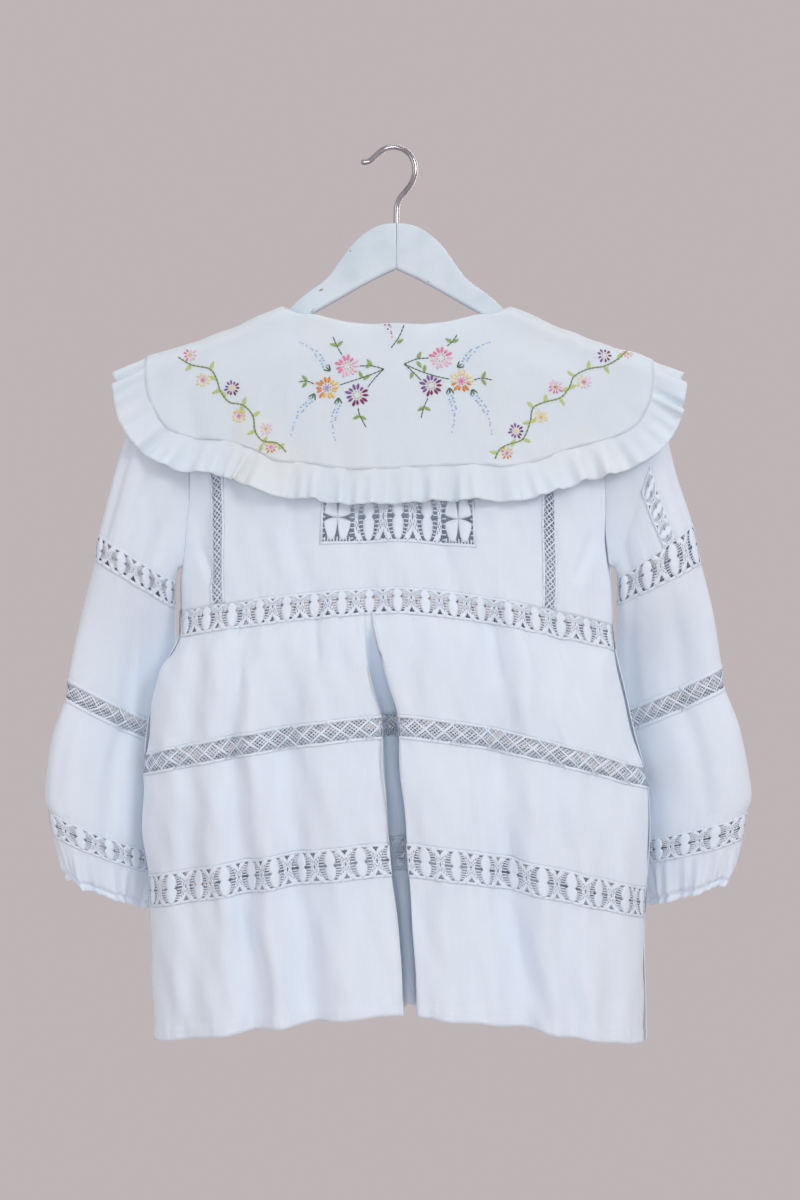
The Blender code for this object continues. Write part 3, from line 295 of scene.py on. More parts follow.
ridge = curve(RIDGE)
panel_width = curve(PANEL_WIDTH)
upper_depth = curves(UPPER_DEPTH)
panel_top = {"back": curves(BACK_TOP), "front": curves(FRONT_TOP)}
body_at = curves(BODY)
cleft_at = curves(CLEFT)
collar_at = curves(COLLAR)
fall_at = curves(RUFFLE_FALL)
wood_top = curve(WOOD_TOP)
wood_bottom = curve(WOOD_BOTTOM)


def upper_y(x, z):
    """Half the depth of the upper body at one place."""
    middle, edge, fullness = (line(z) for line in upper_depth)
    across = min(abs(x) / panel_width(z), 1.0)
    return edge + (middle - edge) * (1 - across ** SIDE_POWER) ** fullness


def over_shoulder(x, h, out=0.0, least=0.0):
    """Point h along the cloth from the ridge, at x, moved out by a layer."""
    bend = min(abs(h) / RIDGE_RADIUS, math.pi / 2)
    straight = abs(h) - bend * RIDGE_RADIUS
    y = (RIDGE_RADIUS + out) * math.sin(bend)
    z = ridge(abs(x)) - RIDGE_RADIUS + (RIDGE_RADIUS + out) * math.cos(bend) - straight
    if straight > 0:
        y += (max(upper_y(x, z), least) - RIDGE_RADIUS) * ease(straight / SHOULDER_RUN)
    return Vector((x, y if h < 0 else -y, z))


def height_to_h(x, z):
    return ridge(abs(x)) - RIDGE_RADIUS * (1 - math.pi / 2) - z


def seam_drop(x, level):
    left, right, _, _, drop_left, drop_right = (line(level) for line in body_at)
    half, drop = (left, drop_left) if x < 0 else (right, drop_right)
    return drop * min(abs(x) / half, 1.0) ** DROP_POWER


def upper_point(face, across, down):
    """Across runs -1 to 1 in x; down runs 0 to 1 from the top edge to the first band."""
    way = 1 if face == "back" else -1
    share = abs(across)
    sign = 1 if across >= 0 else -1
    top_x, top_h = (line(share) for line in panel_top[face])
    end_x = share * panel_width(BAND_1[0] - 0.02)
    end_z = BAND_1[0] - seam_drop(sign * end_x, BAND_1[0])
    start = top_h * way
    h = mix(start, height_to_h(end_x, end_z), down)
    ratio = mix(top_x / TIP_X, share, ease(down * 1.3))
    x = ratio * TIP_X
    for _ in range(4):
        z = over_shoulder(x, h * way).z
        x = ratio * panel_width(z)
    return over_shoulder(sign * x, h * way)


def fold_out(folds, x, level):
    first, second, third, last = FOLD_LEVELS
    total = 0.0
    for x_top, x_mid, x_hem, half_width, out_top, out_mid, out_hem in folds:
        if level > second:
            place, out = x_top, out_top * (first - level) / (first - second)
        elif level > third:
            t = (second - level) / (second - third)
            place, out = mix(x_top, x_mid, t), mix(out_top, out_mid, t)
        else:
            t = (third - level) / (third - last)
            place, out = mix(x_mid, x_hem, t), mix(out_mid, out_hem, t)
        away = abs(x - place) / half_width
        if away < 1:
            total += out * (0.5 + 0.5 * math.cos(math.pi * away))
    return total


def section_y(face, x, level):
    left, right, back, front, _, _ = (line(level) for line in body_at)
    across = min(abs(x) / (left if x < 0 else right), 1.0)
    depth = (back if face == "back" else front) * (1 - across ** SIDE_POWER) ** 0.5
    folds = BACK_FOLDS if face == "back" else FRONT_FOLDS
    depth += fold_out(folds, x, level) * (1 - across ** FOLD_FADE)
    return -depth if face == "back" else depth


def body_point(face, u, level):
    """u runs 0 to 1 around the back from the left seam, or the front from the right."""
    level_in = min(max(level, HEM), BAND_1[0])
    left, right = (line(level_in) for line in body_at[:2])
    x_left, x_right, depth = (line(level_in) for line in cleft_at)

    def half(way):
        return left if way < 0 else right

    if face == "back" and LIP_LEFT < u < LIP_RIGHT:
        c = (u - LIP_LEFT) / (LIP_RIGHT - LIP_LEFT)
        turn = math.pi * c
        way = 1 if math.cos(turn) < 0 else -1
        side = 0.5 + 0.5 * way * abs(math.cos(turn)) ** CLEFT_ROUND
        x = mix(x_left, x_right, side)
        y = mix(section_y(face, x_left, level_in), section_y(face, x_right, level_in), side)
        y += depth * math.sin(turn) ** CLEFT_ROUND
    else:
        if face == "front":
            angle = math.pi / 2 - math.pi * u
        elif u <= LIP_LEFT:
            angle = mix(-math.pi / 2, math.asin(x_left / half(x_left)), u / LIP_LEFT)
        else:
            angle = mix(math.asin(x_right / half(x_right)), math.pi / 2,
                        (u - LIP_RIGHT) / (1 - LIP_RIGHT))
        x = half(angle) * math.sin(angle)
        y = section_y(face, x, level_in)
    z = level - seam_drop(x, level_in)
    return Vector((x, y, z))


def armhole_point(turn):
    """The panels' edge around the armhole: 0 at the shoulder, half a turn at the armpit."""
    way = 1 if math.sin(turn) >= 0 else -1
    share = (1 - math.cos(turn)) / 2
    h = share * height_to_h(panel_width(ARMPIT_Z), ARMPIT_Z)
    x = TIP_X
    for _ in range(4):
        z = over_shoulder(x, h).z
        x = panel_width(z)
    point = over_shoulder(x, h * way)
    if abs(math.sin(turn)) < 1e-6 and share > 0.5:
        point.y = 0.0
    point.x += ARMHOLE_GAP
    return point


def sleeve_point(side, u, ring):
    """u runs once around from the outer line; ring 0 is the armhole, 13 the cuff."""
    rows = SLEEVE_LEFT if side == "left" else SLEEVE_RIGHT
    turn = 2 * math.pi * u
    if side == "right":
        turn = -turn
    i = min(max(int(ring), 0), len(rows) - 1)
    t = min(ring - i, 1.0)

    def place(index):
        if index == 0:
            return armhole_point(turn)
        x_out, y_out, z_out, x_in, y_in, z_in, back, front = rows[index - 1]
        outer = Vector((x_out, y_out, z_out))
        inner = Vector((x_in, y_in, z_in))
        point = (outer + inner) / 2 + (outer - inner) / 2 * math.cos(turn)
        point.y -= (back if math.sin(turn) > 0 else front) * math.sin(turn)
        return point

    if i == 0:
        point = place(0).lerp(place(1), t)
    else:
        before, here = place(max(i - 1, 1)), place(i)
        after, beyond = place(min(i + 1, len(rows))), place(min(i + 2, len(rows)))
        point = (here * (1 + 2 * t) * (1 - t) ** 2 + after * t * t * (3 - 2 * t)
                 + ((after - before) * (1 - t) - (beyond - here) * t) * (0.5 * t * (1 - t)))
    if side == "left":
        point.x = -point.x
    return point


def collar_point(p, q):
    """p runs -2 to 2 around, 0 at the middle of the back; q runs from the neck outward."""
    x_neck, h_neck, x_left, h_left, x_right, h_right = (line(abs(p)) for line in collar_at)
    x_edge, h_edge = (x_left, h_left) if p < 0 else (x_right, h_right)
    x = mix(x_neck, x_edge, q) * (1 if p >= 0 else -1)
    h = mix(h_neck, h_edge, q)
    return over_shoulder(x, h, COLLAR_LIFT + COLLAR_STAND * q, mix(0.0, COLLAR_LEAST, q))


def ruffle_point(p, r, wave):
    """Strip gathered to the collar's edge; wave is the phase in turns."""
    step = 0.004
    edge = collar_point(p, 1.0)
    along = collar_point(p + step, 1.0) - collar_point(p - step, 1.0)
    outward, down, off = (line(abs(p)) for line in fall_at)
    y_way = -1 if edge.y < 0 else 1
    fall = Vector((outward * (1 if p >= 0 else -1), off * y_way, -down)).normalized()
    stand = fall.cross(along).normalized()
    point = edge + fall * (RUFFLE_GAP + r * RUFFLE_WIDTH)
    size = 1 - RUFFLE_UNEVEN + RUFFLE_UNEVEN * math.sin(1.7 * math.floor(wave))
    return point + stand * (RUFFLE_SWING * size * math.sin(2 * math.pi * wave)
                            * max(r, 0.0) ** 0.8)


def steps(start, end, count):
    return [mix(start, end, k / count) for k in range(count + 1)]


FINE_STEPS = 600        # steps that a row's length is measured in


def evenly(point, v, start, end, shares):
    """Places along a row that divide its length into the given shares."""
    fine = steps(start, end, FINE_STEPS)
    spots = [point(u, v) for u in fine]
    lengths = [0.0]
    for one, other in zip(spots, spots[1:]):
        lengths.append(lengths[-1] + (other - one).length)
    places, k = [], 0
    for share in shares:
        goal = share * lengths[-1]
        while k < len(lengths) - 2 and lengths[k + 1] < goal:
            k += 1
        part = (goal - lengths[k]) / max(lengths[k + 1] - lengths[k], 1e-9)
        places.append(mix(fine[k], fine[k + 1], min(max(part, 0.0), 1.0)))
    return places


# Cloth as a grid that lace, seams and stitches can lie on
class Surface:
    """Cloth sampled on a grid. A place on it is a share, 0 to 1, of its width and length."""

    def __init__(self, point, width, length, columns, rows, closed=False, keep=()):
        self.closed = closed
        self.across = evenly(point, (length[0] + length[1]) / 2, *width, steps(0, 1, columns))
        for place in keep:
            nearest = min(range(columns + 1), key=lambda k: abs(self.across[k] - place))
            self.across[nearest] = place
        self.down = steps(*length, rows)
        self.us, self.vs = np.array(self.across)[:, None], np.array(self.down)[None, :]
        self.points = np.array([[tuple(point(u, v)) for v in self.down] for u in self.across])
        self.measure()

    def measure(self):
        grid = self.points
        if self.closed:
            around = np.concatenate([grid[-2:-1], grid, grid[1:2]])
            across = around[2:] - around[:-2]
        else:
            across = np.gradient(grid, axis=0)
        normal = np.cross(np.gradient(grid, axis=1), across)
        self.normals = normal / np.maximum(np.linalg.norm(normal, axis=2, keepdims=True), 1e-12)
        row_steps = np.linalg.norm(np.diff(grid, axis=0), axis=2)
        column_steps = np.linalg.norm(np.diff(grid, axis=1), axis=2)
        self.along = np.concatenate([[0], np.cumsum(row_steps.mean(1))])[:, None]
        self.below = np.concatenate([np.zeros((len(grid), 1)), column_steps.cumsum(1)], axis=1)
        self.above = self.below[:, -1:] - self.below
        self.width = float(row_steps.sum(0).max())
        self.length = float(column_steps.sum(1).max())

    def raise_by(self, relief):
        self.points = self.points + self.normals * relief[..., None]
        self.measure()
        return self

    def at(self, a, b, out):
        """Places on the cloth at shares a and b, moved out by a height."""
        i, j = (np.clip(share, 0, 1) * (count - 1) for share, count in
                zip((a, b), self.points.shape))
        i0 = np.minimum(i.astype(int), self.points.shape[0] - 2)
        j0 = np.minimum(j.astype(int), self.points.shape[1] - 2)
        s, t = (i - i0)[..., None], (j - j0)[..., None]

        def blend(grid):
            near = grid[i0, j0] * (1 - t) + grid[i0, j0 + 1] * t
            return near * (1 - s) + (grid[i0 + 1, j0] * (1 - t) + grid[i0 + 1, j0 + 1] * t) * s
        return blend(self.points) + blend(self.normals) * out[..., None]


def ripple(along, seed, lengths, size):
    """Uneven waves of several lengths, each with its own phase and strength."""
    chances = np.random.default_rng(seed).random((len(lengths), 3))
    total = 0.0
    for length, (phase, share, drift) in zip(lengths, chances):
        total = total + ((0.5 + share) * np.sin(2 * np.pi * (along / length + phase))
                         * (0.6 + 0.4 * np.sin(2 * np.pi * (along / length / 5.3 + drift))))
    return total * size / len(lengths) ** 0.5


def pucker(surface, seed, size=0.0007, reach=0.012, top=True, bottom=True,
           lengths=(0.0075, 0.0120, 0.0190)):
    """Small folds that a seam draws into the cloth beside it."""
    total = np.zeros(surface.points.shape[:2])
    for wanted, away, offset in ((top, surface.below, 0), (bottom, surface.above, 7)):
        if wanted:
            fade = np.exp(-away / reach) * (1 - np.exp(-away / 0.002))
            total += ripple(surface.along, seed + offset, lengths, size) * fade
    return total


TROUGH_ENDS = 3.3       # a crease deepens over the first and last 1/3.3 of its length


def troughs(points, table, side):
    """Soft creases, each along a line as seen from the back or the front."""
    x, z = points[..., 0] * side, points[..., 2]
    total = np.zeros(x.shape)
    for x0, z0, x1, z1, half_width, depth in table:
        long = math.hypot(x1 - x0, z1 - z0)
        t = ((x - x0) * (x1 - x0) + (z - z0) * (z1 - z0)) / long ** 2
        away = ((x - x0) * (z1 - z0) - (z - z0) * (x1 - x0)) / long
        ends = eased(np.minimum(t, 1 - t) * TROUGH_ENDS)
        total -= depth * np.exp(-(away / half_width) ** 2) * ends
    return total


def undulate(points, seed, size):
    """Slight unevenness of hung cloth, longer up and down than across."""
    chances = np.random.default_rng(seed).random((9, 4))
    total = 0.0
    for length, slant, phase, share in chances:
        wave = 0.024 + 0.060 * length
        total = total + (0.4 + share) * np.sin(
            2 * np.pi * ((points[..., 0] + (slant - 0.5) * 0.9 * points[..., 2]) / wave + phase))
    return total * size / 3


def through(points, t):
    """Point t steps along a smooth line through the points."""
    i = min(int(t), len(points) - 2)
    u = t - i
    a, b, c, d = (points[min(max(k, 0), len(points) - 1)] for k in range(i - 1, i + 3))
    return (b * 2 + (c - a) * u + (a * 2 - b * 5 + c * 4 - d) * u * u
            + (b * 3 - a - c * 3 + d) * u * u * u) * 0.5


# Making pieces
def pieces_mesh(work, name, finish):
    mesh = bpy.data.meshes.new(name)
    work.to_mesh(mesh)
    work.free()
    for polygon in mesh.polygons:
        polygon.use_smooth = True
    mesh.materials.append(finish)
    piece = bpy.data.objects.new(name, mesh)
    bpy.context.scene.collection.objects.link(piece)
    return piece


def add_piece(name, work, finish, nodes=(), wall=0.0):
    """Puts a finished mesh on the part, in place of the solids that it stands for."""
    piece = pieces_mesh(work, name, finish)
    if wall:
        thick = piece.modifiers.new("wall", "SOLIDIFY")
        thick.thickness = wall
        thick.offset = -1.0
    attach(piece, "root")
    if nodes:
        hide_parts(*nodes)
    return piece


def patch(work, columns, rows, place):
    """A grid whose points are placed by a function of two shares, across and down."""
    made = bmesh.ops.create_grid(work, x_segments=columns, y_segments=rows, size=0.5)
    for vert in made["verts"]:
        vert.co = place(vert.co.x + 0.5, 0.5 - vert.co.y)
    return made["verts"]


def faces_of(verts):
    return list({face for vert in verts for face in vert.link_faces})


def cloth_work(surface, leave_out=None):
    """The cloth's own mesh, with its flat cut in metres as the UV map."""
    work = bmesh.new()
    cut = work.loops.layers.uv.new("cut")
    columns, rows = surface.points.shape[0] - 1, surface.points.shape[1] - 1
    bmesh.ops.create_grid(work, x_segments=columns, y_segments=rows, size=0.5)
    gone = []
    for face in work.faces:
        middle = face.calc_center_median()
        i = int((middle.x + 0.5) * columns)
        j = int((0.5 - middle.y) * rows)
        if leave_out and leave_out((surface.across[i] + surface.across[i + 1]) / 2,
                                   (surface.down[j] + surface.down[j + 1]) / 2):
            gone.append(face)
        for loop in face.loops:
            loop[cut].uv = ((loop.vert.co.x + 0.5) * surface.width,
                            (loop.vert.co.y + 0.5) * surface.length)
    for vert in work.verts:
        i = round((vert.co.x + 0.5) * columns)
        j = round((0.5 - vert.co.y) * rows)
        vert.co = surface.points[i, j]
    bmesh.ops.delete(work, geom=gone, context="FACES")
    if surface.closed:
        bmesh.ops.remove_doubles(work, verts=work.verts, dist=1e-6)
    return work


def cloth(name, surface, finish,
          leave_out=None):
    """A cloth piece on its node's form."""
    piece = add_piece(name + "_cloth", cloth_work(surface, leave_out), finish, (name,),
                      CLOTH)
    return piece


# Lace, drawn flat in metres and then laid on its surface
LACE_LIFT = 0.0003      # how far a lace lies off the cloth's surface
THREAD_LIFT = 0.0002    # a tape or a bold thread lies this much over the finer ones
TAPE_WIDTH = 0.0024     # woven edge that a lace is sewn in by
OVAL_RIM = 0.0012       # clear of the tape, above and below a motif
LADDER_THREAD = 0.00102
LADDER_PLACES = (0.12, 0.30, 0.47, 0.62, 0.76)     # shares of the way from the oval's middle
WEB_CELLS = (7, 8)      # across and down
NET_THREAD = 0.00084
BOLD_SHARE = 0.135      # bold thread of the diamonds, as a share of their width
NARROW = 0.012          # diamonds narrower than this have fewer lines
FLOWER_MARGIN = 0.0022
FLOWER_THREAD = 0.0011
WEB_HOLES = {(1, 2), (3, 1), (1, 4), (3, 3), (5, 2), (2, 6), (1, 7), (4, 7), (6, 0)}


def ribbon(work, path, width, height=0.0):
    """A flat thread along a path of (x, y), or (x, y, share of the width) where it tapers."""
    path = [(*spot, 1.0)[:3] for spot in path]
    last = len(path) - 1

    def place(a, b):
        k = round(a * last)
        before, after = path[max(k - 1, 0)], path[min(k + 1, last)]
        way = Vector((after[0] - before[0], after[1] - before[1], 0)).normalized()
        side = Vector((-way.y, way.x, 0)) * width * path[k][2] * (0.5 - b)
        return Vector((path[k][0], path[k][1], height)) + side
    return patch(work, last, 1, place)


def oval_motif(work, width, length, centre):
    """A solid oval between two ladders, with pierced webs out to the next motif."""
    upper, lower = centre, length - centre

    def half_height(y):
        return (upper if y > 0 else lower) - OVAL_RIM

    def oval(a, b):
        y = mix(upper - OVAL_RIM, OVAL_RIM - lower, b)
        share = max(1 - (y / half_height(y)) ** 2, 0.0) ** 0.5
        notch = 1 - 0.5 * math.exp(-(y / 0.0013) ** 2)
        bulge = 1 - (2 * a - 1) ** 2
        return Vector(((2 * a - 1) * width * 0.205 * (share * 0.9 + 0.1) * notch, y,
                       0.0001 + 0.0006 * bulge))

    def rail(y):
        return width * (0.13 + 0.235 * max(math.cos(math.pi / 2 * y / half_height(y)), 0) ** 0.7)

    patch(work, 4, 12, oval)
    for side in (-1, 1):
        for reach in (upper, -lower):
            for share in LADDER_PLACES:
                y = (reach - math.copysign(OVAL_RIM, reach)) * share
                inner = width * 0.19 * max(1 - share * share, 0) ** 0.5
                ribbon(work, [(side * inner, y * 0.95), (side * rail(y) * 1.02, y)],
                       LADDER_THREAD)

            def web(a, b, side=side, reach=reach):
                y = (reach - math.copysign(OVAL_RIM * 0.5, reach)) * b
                x = mix(rail(y), width / 2, a)
                return Vector((side * x, y, 0.00005 + 0.0002 * math.sin(math.pi * a)))

            made = patch(work, *WEB_CELLS, web)
            faces = faces_of(made)
            if side * reach > 0:
                bmesh.ops.reverse_faces(work, faces=faces)
            bmesh.ops.delete(work, context="FACES",
                             geom=[face for face in faces if pierced(face, width, reach, rail)])


def pierced(face, width, reach, rail):
    """Whether a cell of the web is one of its holes."""
    middle = face.calc_center_median()
    b = middle.y / reach
    inner = rail(middle.y)
    column = int((abs(middle.x) - inner) / (width / 2 - inner) * WEB_CELLS[0])
    row = int(b * WEB_CELLS[1])
    if row in (5, 6):
        return column >= 11 - row
    return (column, row) in WEB_HOLES


def diamond_motif(work, width, length, centre):
    """Crossing tapes with a fine net between them."""
    run = width * 1.5
    lines = 4 if width > NARROW else 2
    for way in (-1, 1):
        for k in range(lines):
            x = -way * run / 2 + way * k * width / lines
            ribbon(work, [(mix(x, x + way * run, t), mix(centre, centre - length, t))
                          for t in (0.0, 0.5, 1.0)],
                   width * BOLD_SHARE if k == 0 else NET_THREAD,
                   THREAD_LIFT if k == 0 else 0.0)
    for edge in (centre, centre - length):
        for shift in (-0.25, 0.25):
            ribbon(work, [(width * (shift - 0.25), edge, 0.2), (width * shift, edge, 1.0),
                          (width * (shift + 0.25), edge, 0.2)], length * 0.30, 0.0001)


def flower_square(work, left, right, top, bottom):
    """Four solid petals with ladders around them, at the ends of the yoke's panel."""
    across, middle = (left + right) / 2, (top + bottom) / 2
    wide, high = (right - left) / 2 - FLOWER_MARGIN, (top - bottom) / 2 - FLOWER_MARGIN
    for side in (-1, 1):
        for up in (-1, 1):
            def petal(a, b, side=side, up=up):
                x = mix(0.10 * b * b, 0.94 - 0.18 * b * b, a)
                y = mix(0.16 * a * a, 0.94 - 0.30 * abs(2 * a - 1) ** 3, b)
                bulge = (1 - (2 * a - 1) ** 2) * (1 - (2 * b - 1) ** 2)
                return Vector((across + side * wide * x, middle + up * high * y,
                               0.0002 + 0.0006 * bulge))
            made = patch(work, 7, 7, petal)
            if side * up > 0:
                bmesh.ops.reverse_faces(work, faces=faces_of(made))
    for k in range(-4, 5):
        x, y = across + wide * k / 4.6, middle + high * k / 4.6
        for up in (-1, 1):
            ribbon(work, [(x, middle + up * high * 0.80),
                          (x, middle + up * (high + FLOWER_MARGIN))], FLOWER_THREAD)
        for side in (-1, 1):
            ribbon(work, [(across + side * wide * 0.86, y),
                          (across + side * (wide + FLOWER_MARGIN), y)], FLOWER_THREAD)


def tapes(work, width, length):
    """The woven edges that a lace is sewn in by, above and below."""
    count = max(round(width / 0.004), 2)
    for y in (-TAPE_WIDTH / 2, -length + TAPE_WIDTH / 2):
        ribbon(work, [(x, y) for x in steps(0, width, count)], TAPE_WIDTH, THREAD_LIFT)


def repeat_motif(work, motif, width, length, centre, repeat, start=0.0, end=None):
    """Fills a length of lace with whole repeats of one motif."""
    end = width if end is None else end
    count = max(round((end - start) / repeat), 1)
    pitch = (end - start) / count
    known = set(work.verts)
    motif(work, pitch, length, centre)
    first = [vert for vert in work.verts if vert not in known]
    edges = list({edge for vert in first for edge in vert.link_edges})
    bmesh.ops.translate(work, verts=first, vec=(start + pitch / 2, -centre, 0))
    source = first + edges + faces_of(first)
    for k in range(1, count):
        made = bmesh.ops.duplicate(work, geom=source)
        verts = [item for item in made["geom"] if isinstance(item, bmesh.types.BMVert)]
        bmesh.ops.translate(work, verts=verts, vec=(pitch * k, 0, 0))


def lay_on(work, surface, width, length, lift):
    """Moves a flat drawing onto its surface: x along the width, -y down the length."""
    for spot, way in (((0, 0, 0), (-1, 0, 0)), ((width, 0, 0), (1, 0, 0))):
        bmesh.ops.bisect_plane(work, geom=work.verts[:] + work.edges[:] + work.faces[:],
                               plane_co=spot, plane_no=way, clear_outer=True)
    cut = work.loops.layers.uv.new("cut")
    for face in work.faces:
        for loop in face.loops:
            loop[cut].uv = (loop.vert.co.x, loop.vert.co.y)
    flat = np.array([vert.co[:] for vert in work.verts])
    placed = surface.at(flat[:, 0] / width, -flat[:, 1] / length, flat[:, 2] + lift)
    for vert, spot in zip(work.verts, placed):
        vert.co = spot
    return work


def lace(name, surface, motif, repeat, centre_share=0.5, drawing=None, lift=LACE_LIFT):
    """An openwork piece of real ribbons."""
    width, length = surface.width, surface.length
    work = bmesh.new()
    if drawing:
        drawing(work, width, length)
    else:
        repeat_motif(work, motif, width, length, length * centre_share, repeat)
    tapes(work, width, length)
    piece = add_piece(name + "_lace", lay_on(work, surface, width, length, lift),
                      FINISHES["lace"], (name,), LACE)
    mesh = piece.data
    rims = {}
    for polygon in mesh.polygons:
        for key in polygon.edge_keys:
            rims[key] = rims.get(key, 0) + 1
    return piece


# Finishes
class Shade:
    """A number in a finish's nodes, so that shader maths reads as Python."""

    def __init__(self, finish, socket):
        self.finish = finish
        self.socket = socket

    def math(self, operation, *others):
        return self.finish.node("ShaderNodeMath", {"operation": operation},
                                dict(enumerate((self, *others))))

    def __add__(self, other):
        return self.math("ADD", other)

    __radd__ = __add__

    def __mul__(self, other):
        return self.math("MULTIPLY", other)

    __rmul__ = __mul__

    def __sub__(self, other):
        return self.math("SUBTRACT", other)

    def __rsub__(self, other):
        return (self * -1.0) + other

    def sine(self):
        return self.math("SINE")

    def above(self, level, softness):
        """0 below the level, 1 above it, with a soft edge."""
        return self.finish.node("ShaderNodeMapRange", {"interpolation_type": "SMOOTHSTEP"},
                                {0: self, 1: level - softness, 2: level + softness,
                                 3: 0.0, 4: 1.0})


class Finish:
    """A material, with the shader's even values given by their names."""

    def __init__(self, name, even):
        self.material = bpy.data.materials.new(name)
        self.material.use_nodes = True
        self.tree = self.material.node_tree
        self.shader = next(n for n in self.tree.nodes if n.type == "BSDF_PRINCIPLED")
        for key, value in even.items():
            self.shader.inputs[key].default_value = value

    def node(self, kind, settings=None, values=None, output=0):
        made = self.tree.nodes.new(kind)
        for key, value in (settings or {}).items():
            setattr(made, key, value)
        for key, value in (values or {}).items():
            if isinstance(value, Shade):
                self.tree.links.new(value.socket, made.inputs[key])
            else:
                made.inputs[key].default_value = value
        return Shade(self, made.outputs[output])

    def feed(self, socket, shade):
        self.tree.links.new(shade.socket, self.shader.inputs[socket])

    def cut(self):
        return self.node("ShaderNodeUVMap", {"uv_map": "cut"})

    def place(self):
        return self.node("ShaderNodeTexCoord", output="Object")

    def split(self, vector):
        parts = self.node("ShaderNodeSeparateXYZ", values={0: vector})
        return [Shade(self, out) for out in parts.socket.node.outputs]

    def noise(self, vector, scale, stretch=(1, 1, 1), detail=3.0):
        spread = self.node("ShaderNodeMapping", values={"Vector": vector, "Scale": stretch})
        return self.node("ShaderNodeTexNoise",
                         values={"Vector": spread, "Scale": scale, "Detail": detail})

    def blend(self, factor, one, other):
        return self.node("ShaderNodeMix", {"data_type": "RGBA"},
                         {0: factor, 6: (*one, 1) if isinstance(one, tuple) else one,
                          7: (*other, 1) if isinstance(other, tuple) else other}, output=2)

    def bump(self, height, distance):
        self.feed("Normal", self.node("ShaderNodeBump", values={
            "Strength": 1.0, "Distance": distance, "Height": height}))


def from_screen(red, green, blue):
    """Linear colour of an 8-bit screen colour."""
    return tuple((c / 255) ** 2.2 for c in (red, green, blue))


# Light passes through thin cotton, so folds and the inside are never dark.
THROUGH = {"Subsurface Weight": 0.7, "Subsurface Radius": (1.0, 1.0, 1.0),
           "Subsurface Scale": 0.0016}


WEAVE_PITCH = 0.0010


def cotton(name, colour, stain=None):
    finish = Finish(name, {"Sheen Weight": 0.10, "Sheen Roughness": 0.5,
                           "Specular IOR Level": 0.25, **THROUGH})
    cut = finish.cut()
    u, v = finish.split(cut)[:2]
    turns = 2 * math.pi / WEAVE_PITCH
    weave = (u * turns).sine() * (v * turns).sine()
    slubs = (finish.noise(cut, 60.0, (14, 1, 1)) + finish.noise(cut, 60.0, (1, 14, 1))) * 0.5
    crumple = finish.noise(cut, 55.0, detail=4.0)
    finish.bump(weave * 0.10 + slubs * 0.9 + crumple * 1.6, 0.00022)
    cloudy = finish.noise(finish.place(), 14.0)
    shade = tuple(c * 0.97 for c in colour)
    base = finish.blend(cloudy.above(0.5, 0.25), colour, shade)
    if stain:
        patch_mask = finish.noise(finish.place(), 12.0, detail=1.0).above(0.60, 0.09)
        base = finish.blend(patch_mask, base, stain)
    finish.feed("Base Color", base)
    finish.feed("Roughness", slubs * 0.14 + 0.80)
    return finish.material


def lace_thread():
    finish = Finish("lace_thread", {"Sheen Weight": 0.1, "Specular IOR Level": 0.3})
    cut = finish.cut()
    twist = finish.noise(cut, 900.0, detail=2.0)
    finish.bump(twist, 0.00015)
    finish.feed("Base Color", finish.blend(twist, from_screen(222, 233, 243),
                                           from_screen(214, 227, 238)))
    finish.feed("Roughness", twist * 0.2 + 0.7)
    return finish.material


def stitch_thread():
    finish = Finish("stitch_thread", {"Sheen Weight": 0.2})
    dyed = finish.node("ShaderNodeAttribute", {"attribute_name": "thread"})
    strand = finish.noise(finish.place(), 2200.0, detail=1.0)
    darker = finish.node("ShaderNodeVectorMath", {"operation": "SCALE"},
                         {0: dyed, "Scale": 0.80})
    finish.feed("Base Color", finish.blend(strand.above(0.42, 0.12), darker, dyed))
    finish.feed("Roughness", strand * 0.2 + 0.45)
    finish.bump(strand, 0.00015)
    return finish.material


def white_paint():
    finish = Finish("white_paint", {"Specular IOR Level": 0.5})
    place = finish.place()
    brush = finish.noise(place, 26.0, (1, 6, 9), 5.0)
    grime = finish.noise(place, 38.0, detail=5.0)
    chips = finish.noise(place, 118.0, detail=2.0).above(0.735, 0.012)
    paint = finish.blend(grime.above(0.52, 0.20), from_screen(203, 217, 225),
                         from_screen(190, 206, 214))
    finish.feed("Base Color", finish.blend(chips, paint, from_screen(150, 148, 146)))
    finish.feed("Roughness", chips * 0.35 + brush * 0.15 + 0.33)
    finish.bump(brush * 0.5 - chips, 0.00025)
    return finish.material


def chrome():
    finish = Finish("chrome", {"Metallic": 1.0})
    # Patches of darker metal colour are painted dark reflections; the same noise varies the
    # roughness as smudges do.
    smudges_and_dark_reflections = finish.noise(finish.place(), 90.0, (1, 1, 0.3))
    finish.feed("Base Color", finish.blend(smudges_and_dark_reflections.above(0.5, 0.2), from_screen(192, 192, 196),
                                           from_screen(160, 160, 164)))
    finish.feed("Roughness", smudges_and_dark_reflections * 0.16 + 0.08)
    return finish.material


WHITE = from_screen(221, 234, 249)
FINISHES = {
    "cotton": cotton("white_cotton", WHITE),
    "collar": cotton("collar_cotton", from_screen(213, 226, 235), from_screen(217, 225, 227)),
    "lace": lace_thread(),
    "stitches": stitch_thread(),
    "paint": white_paint(),
    "chrome": chrome(),
}


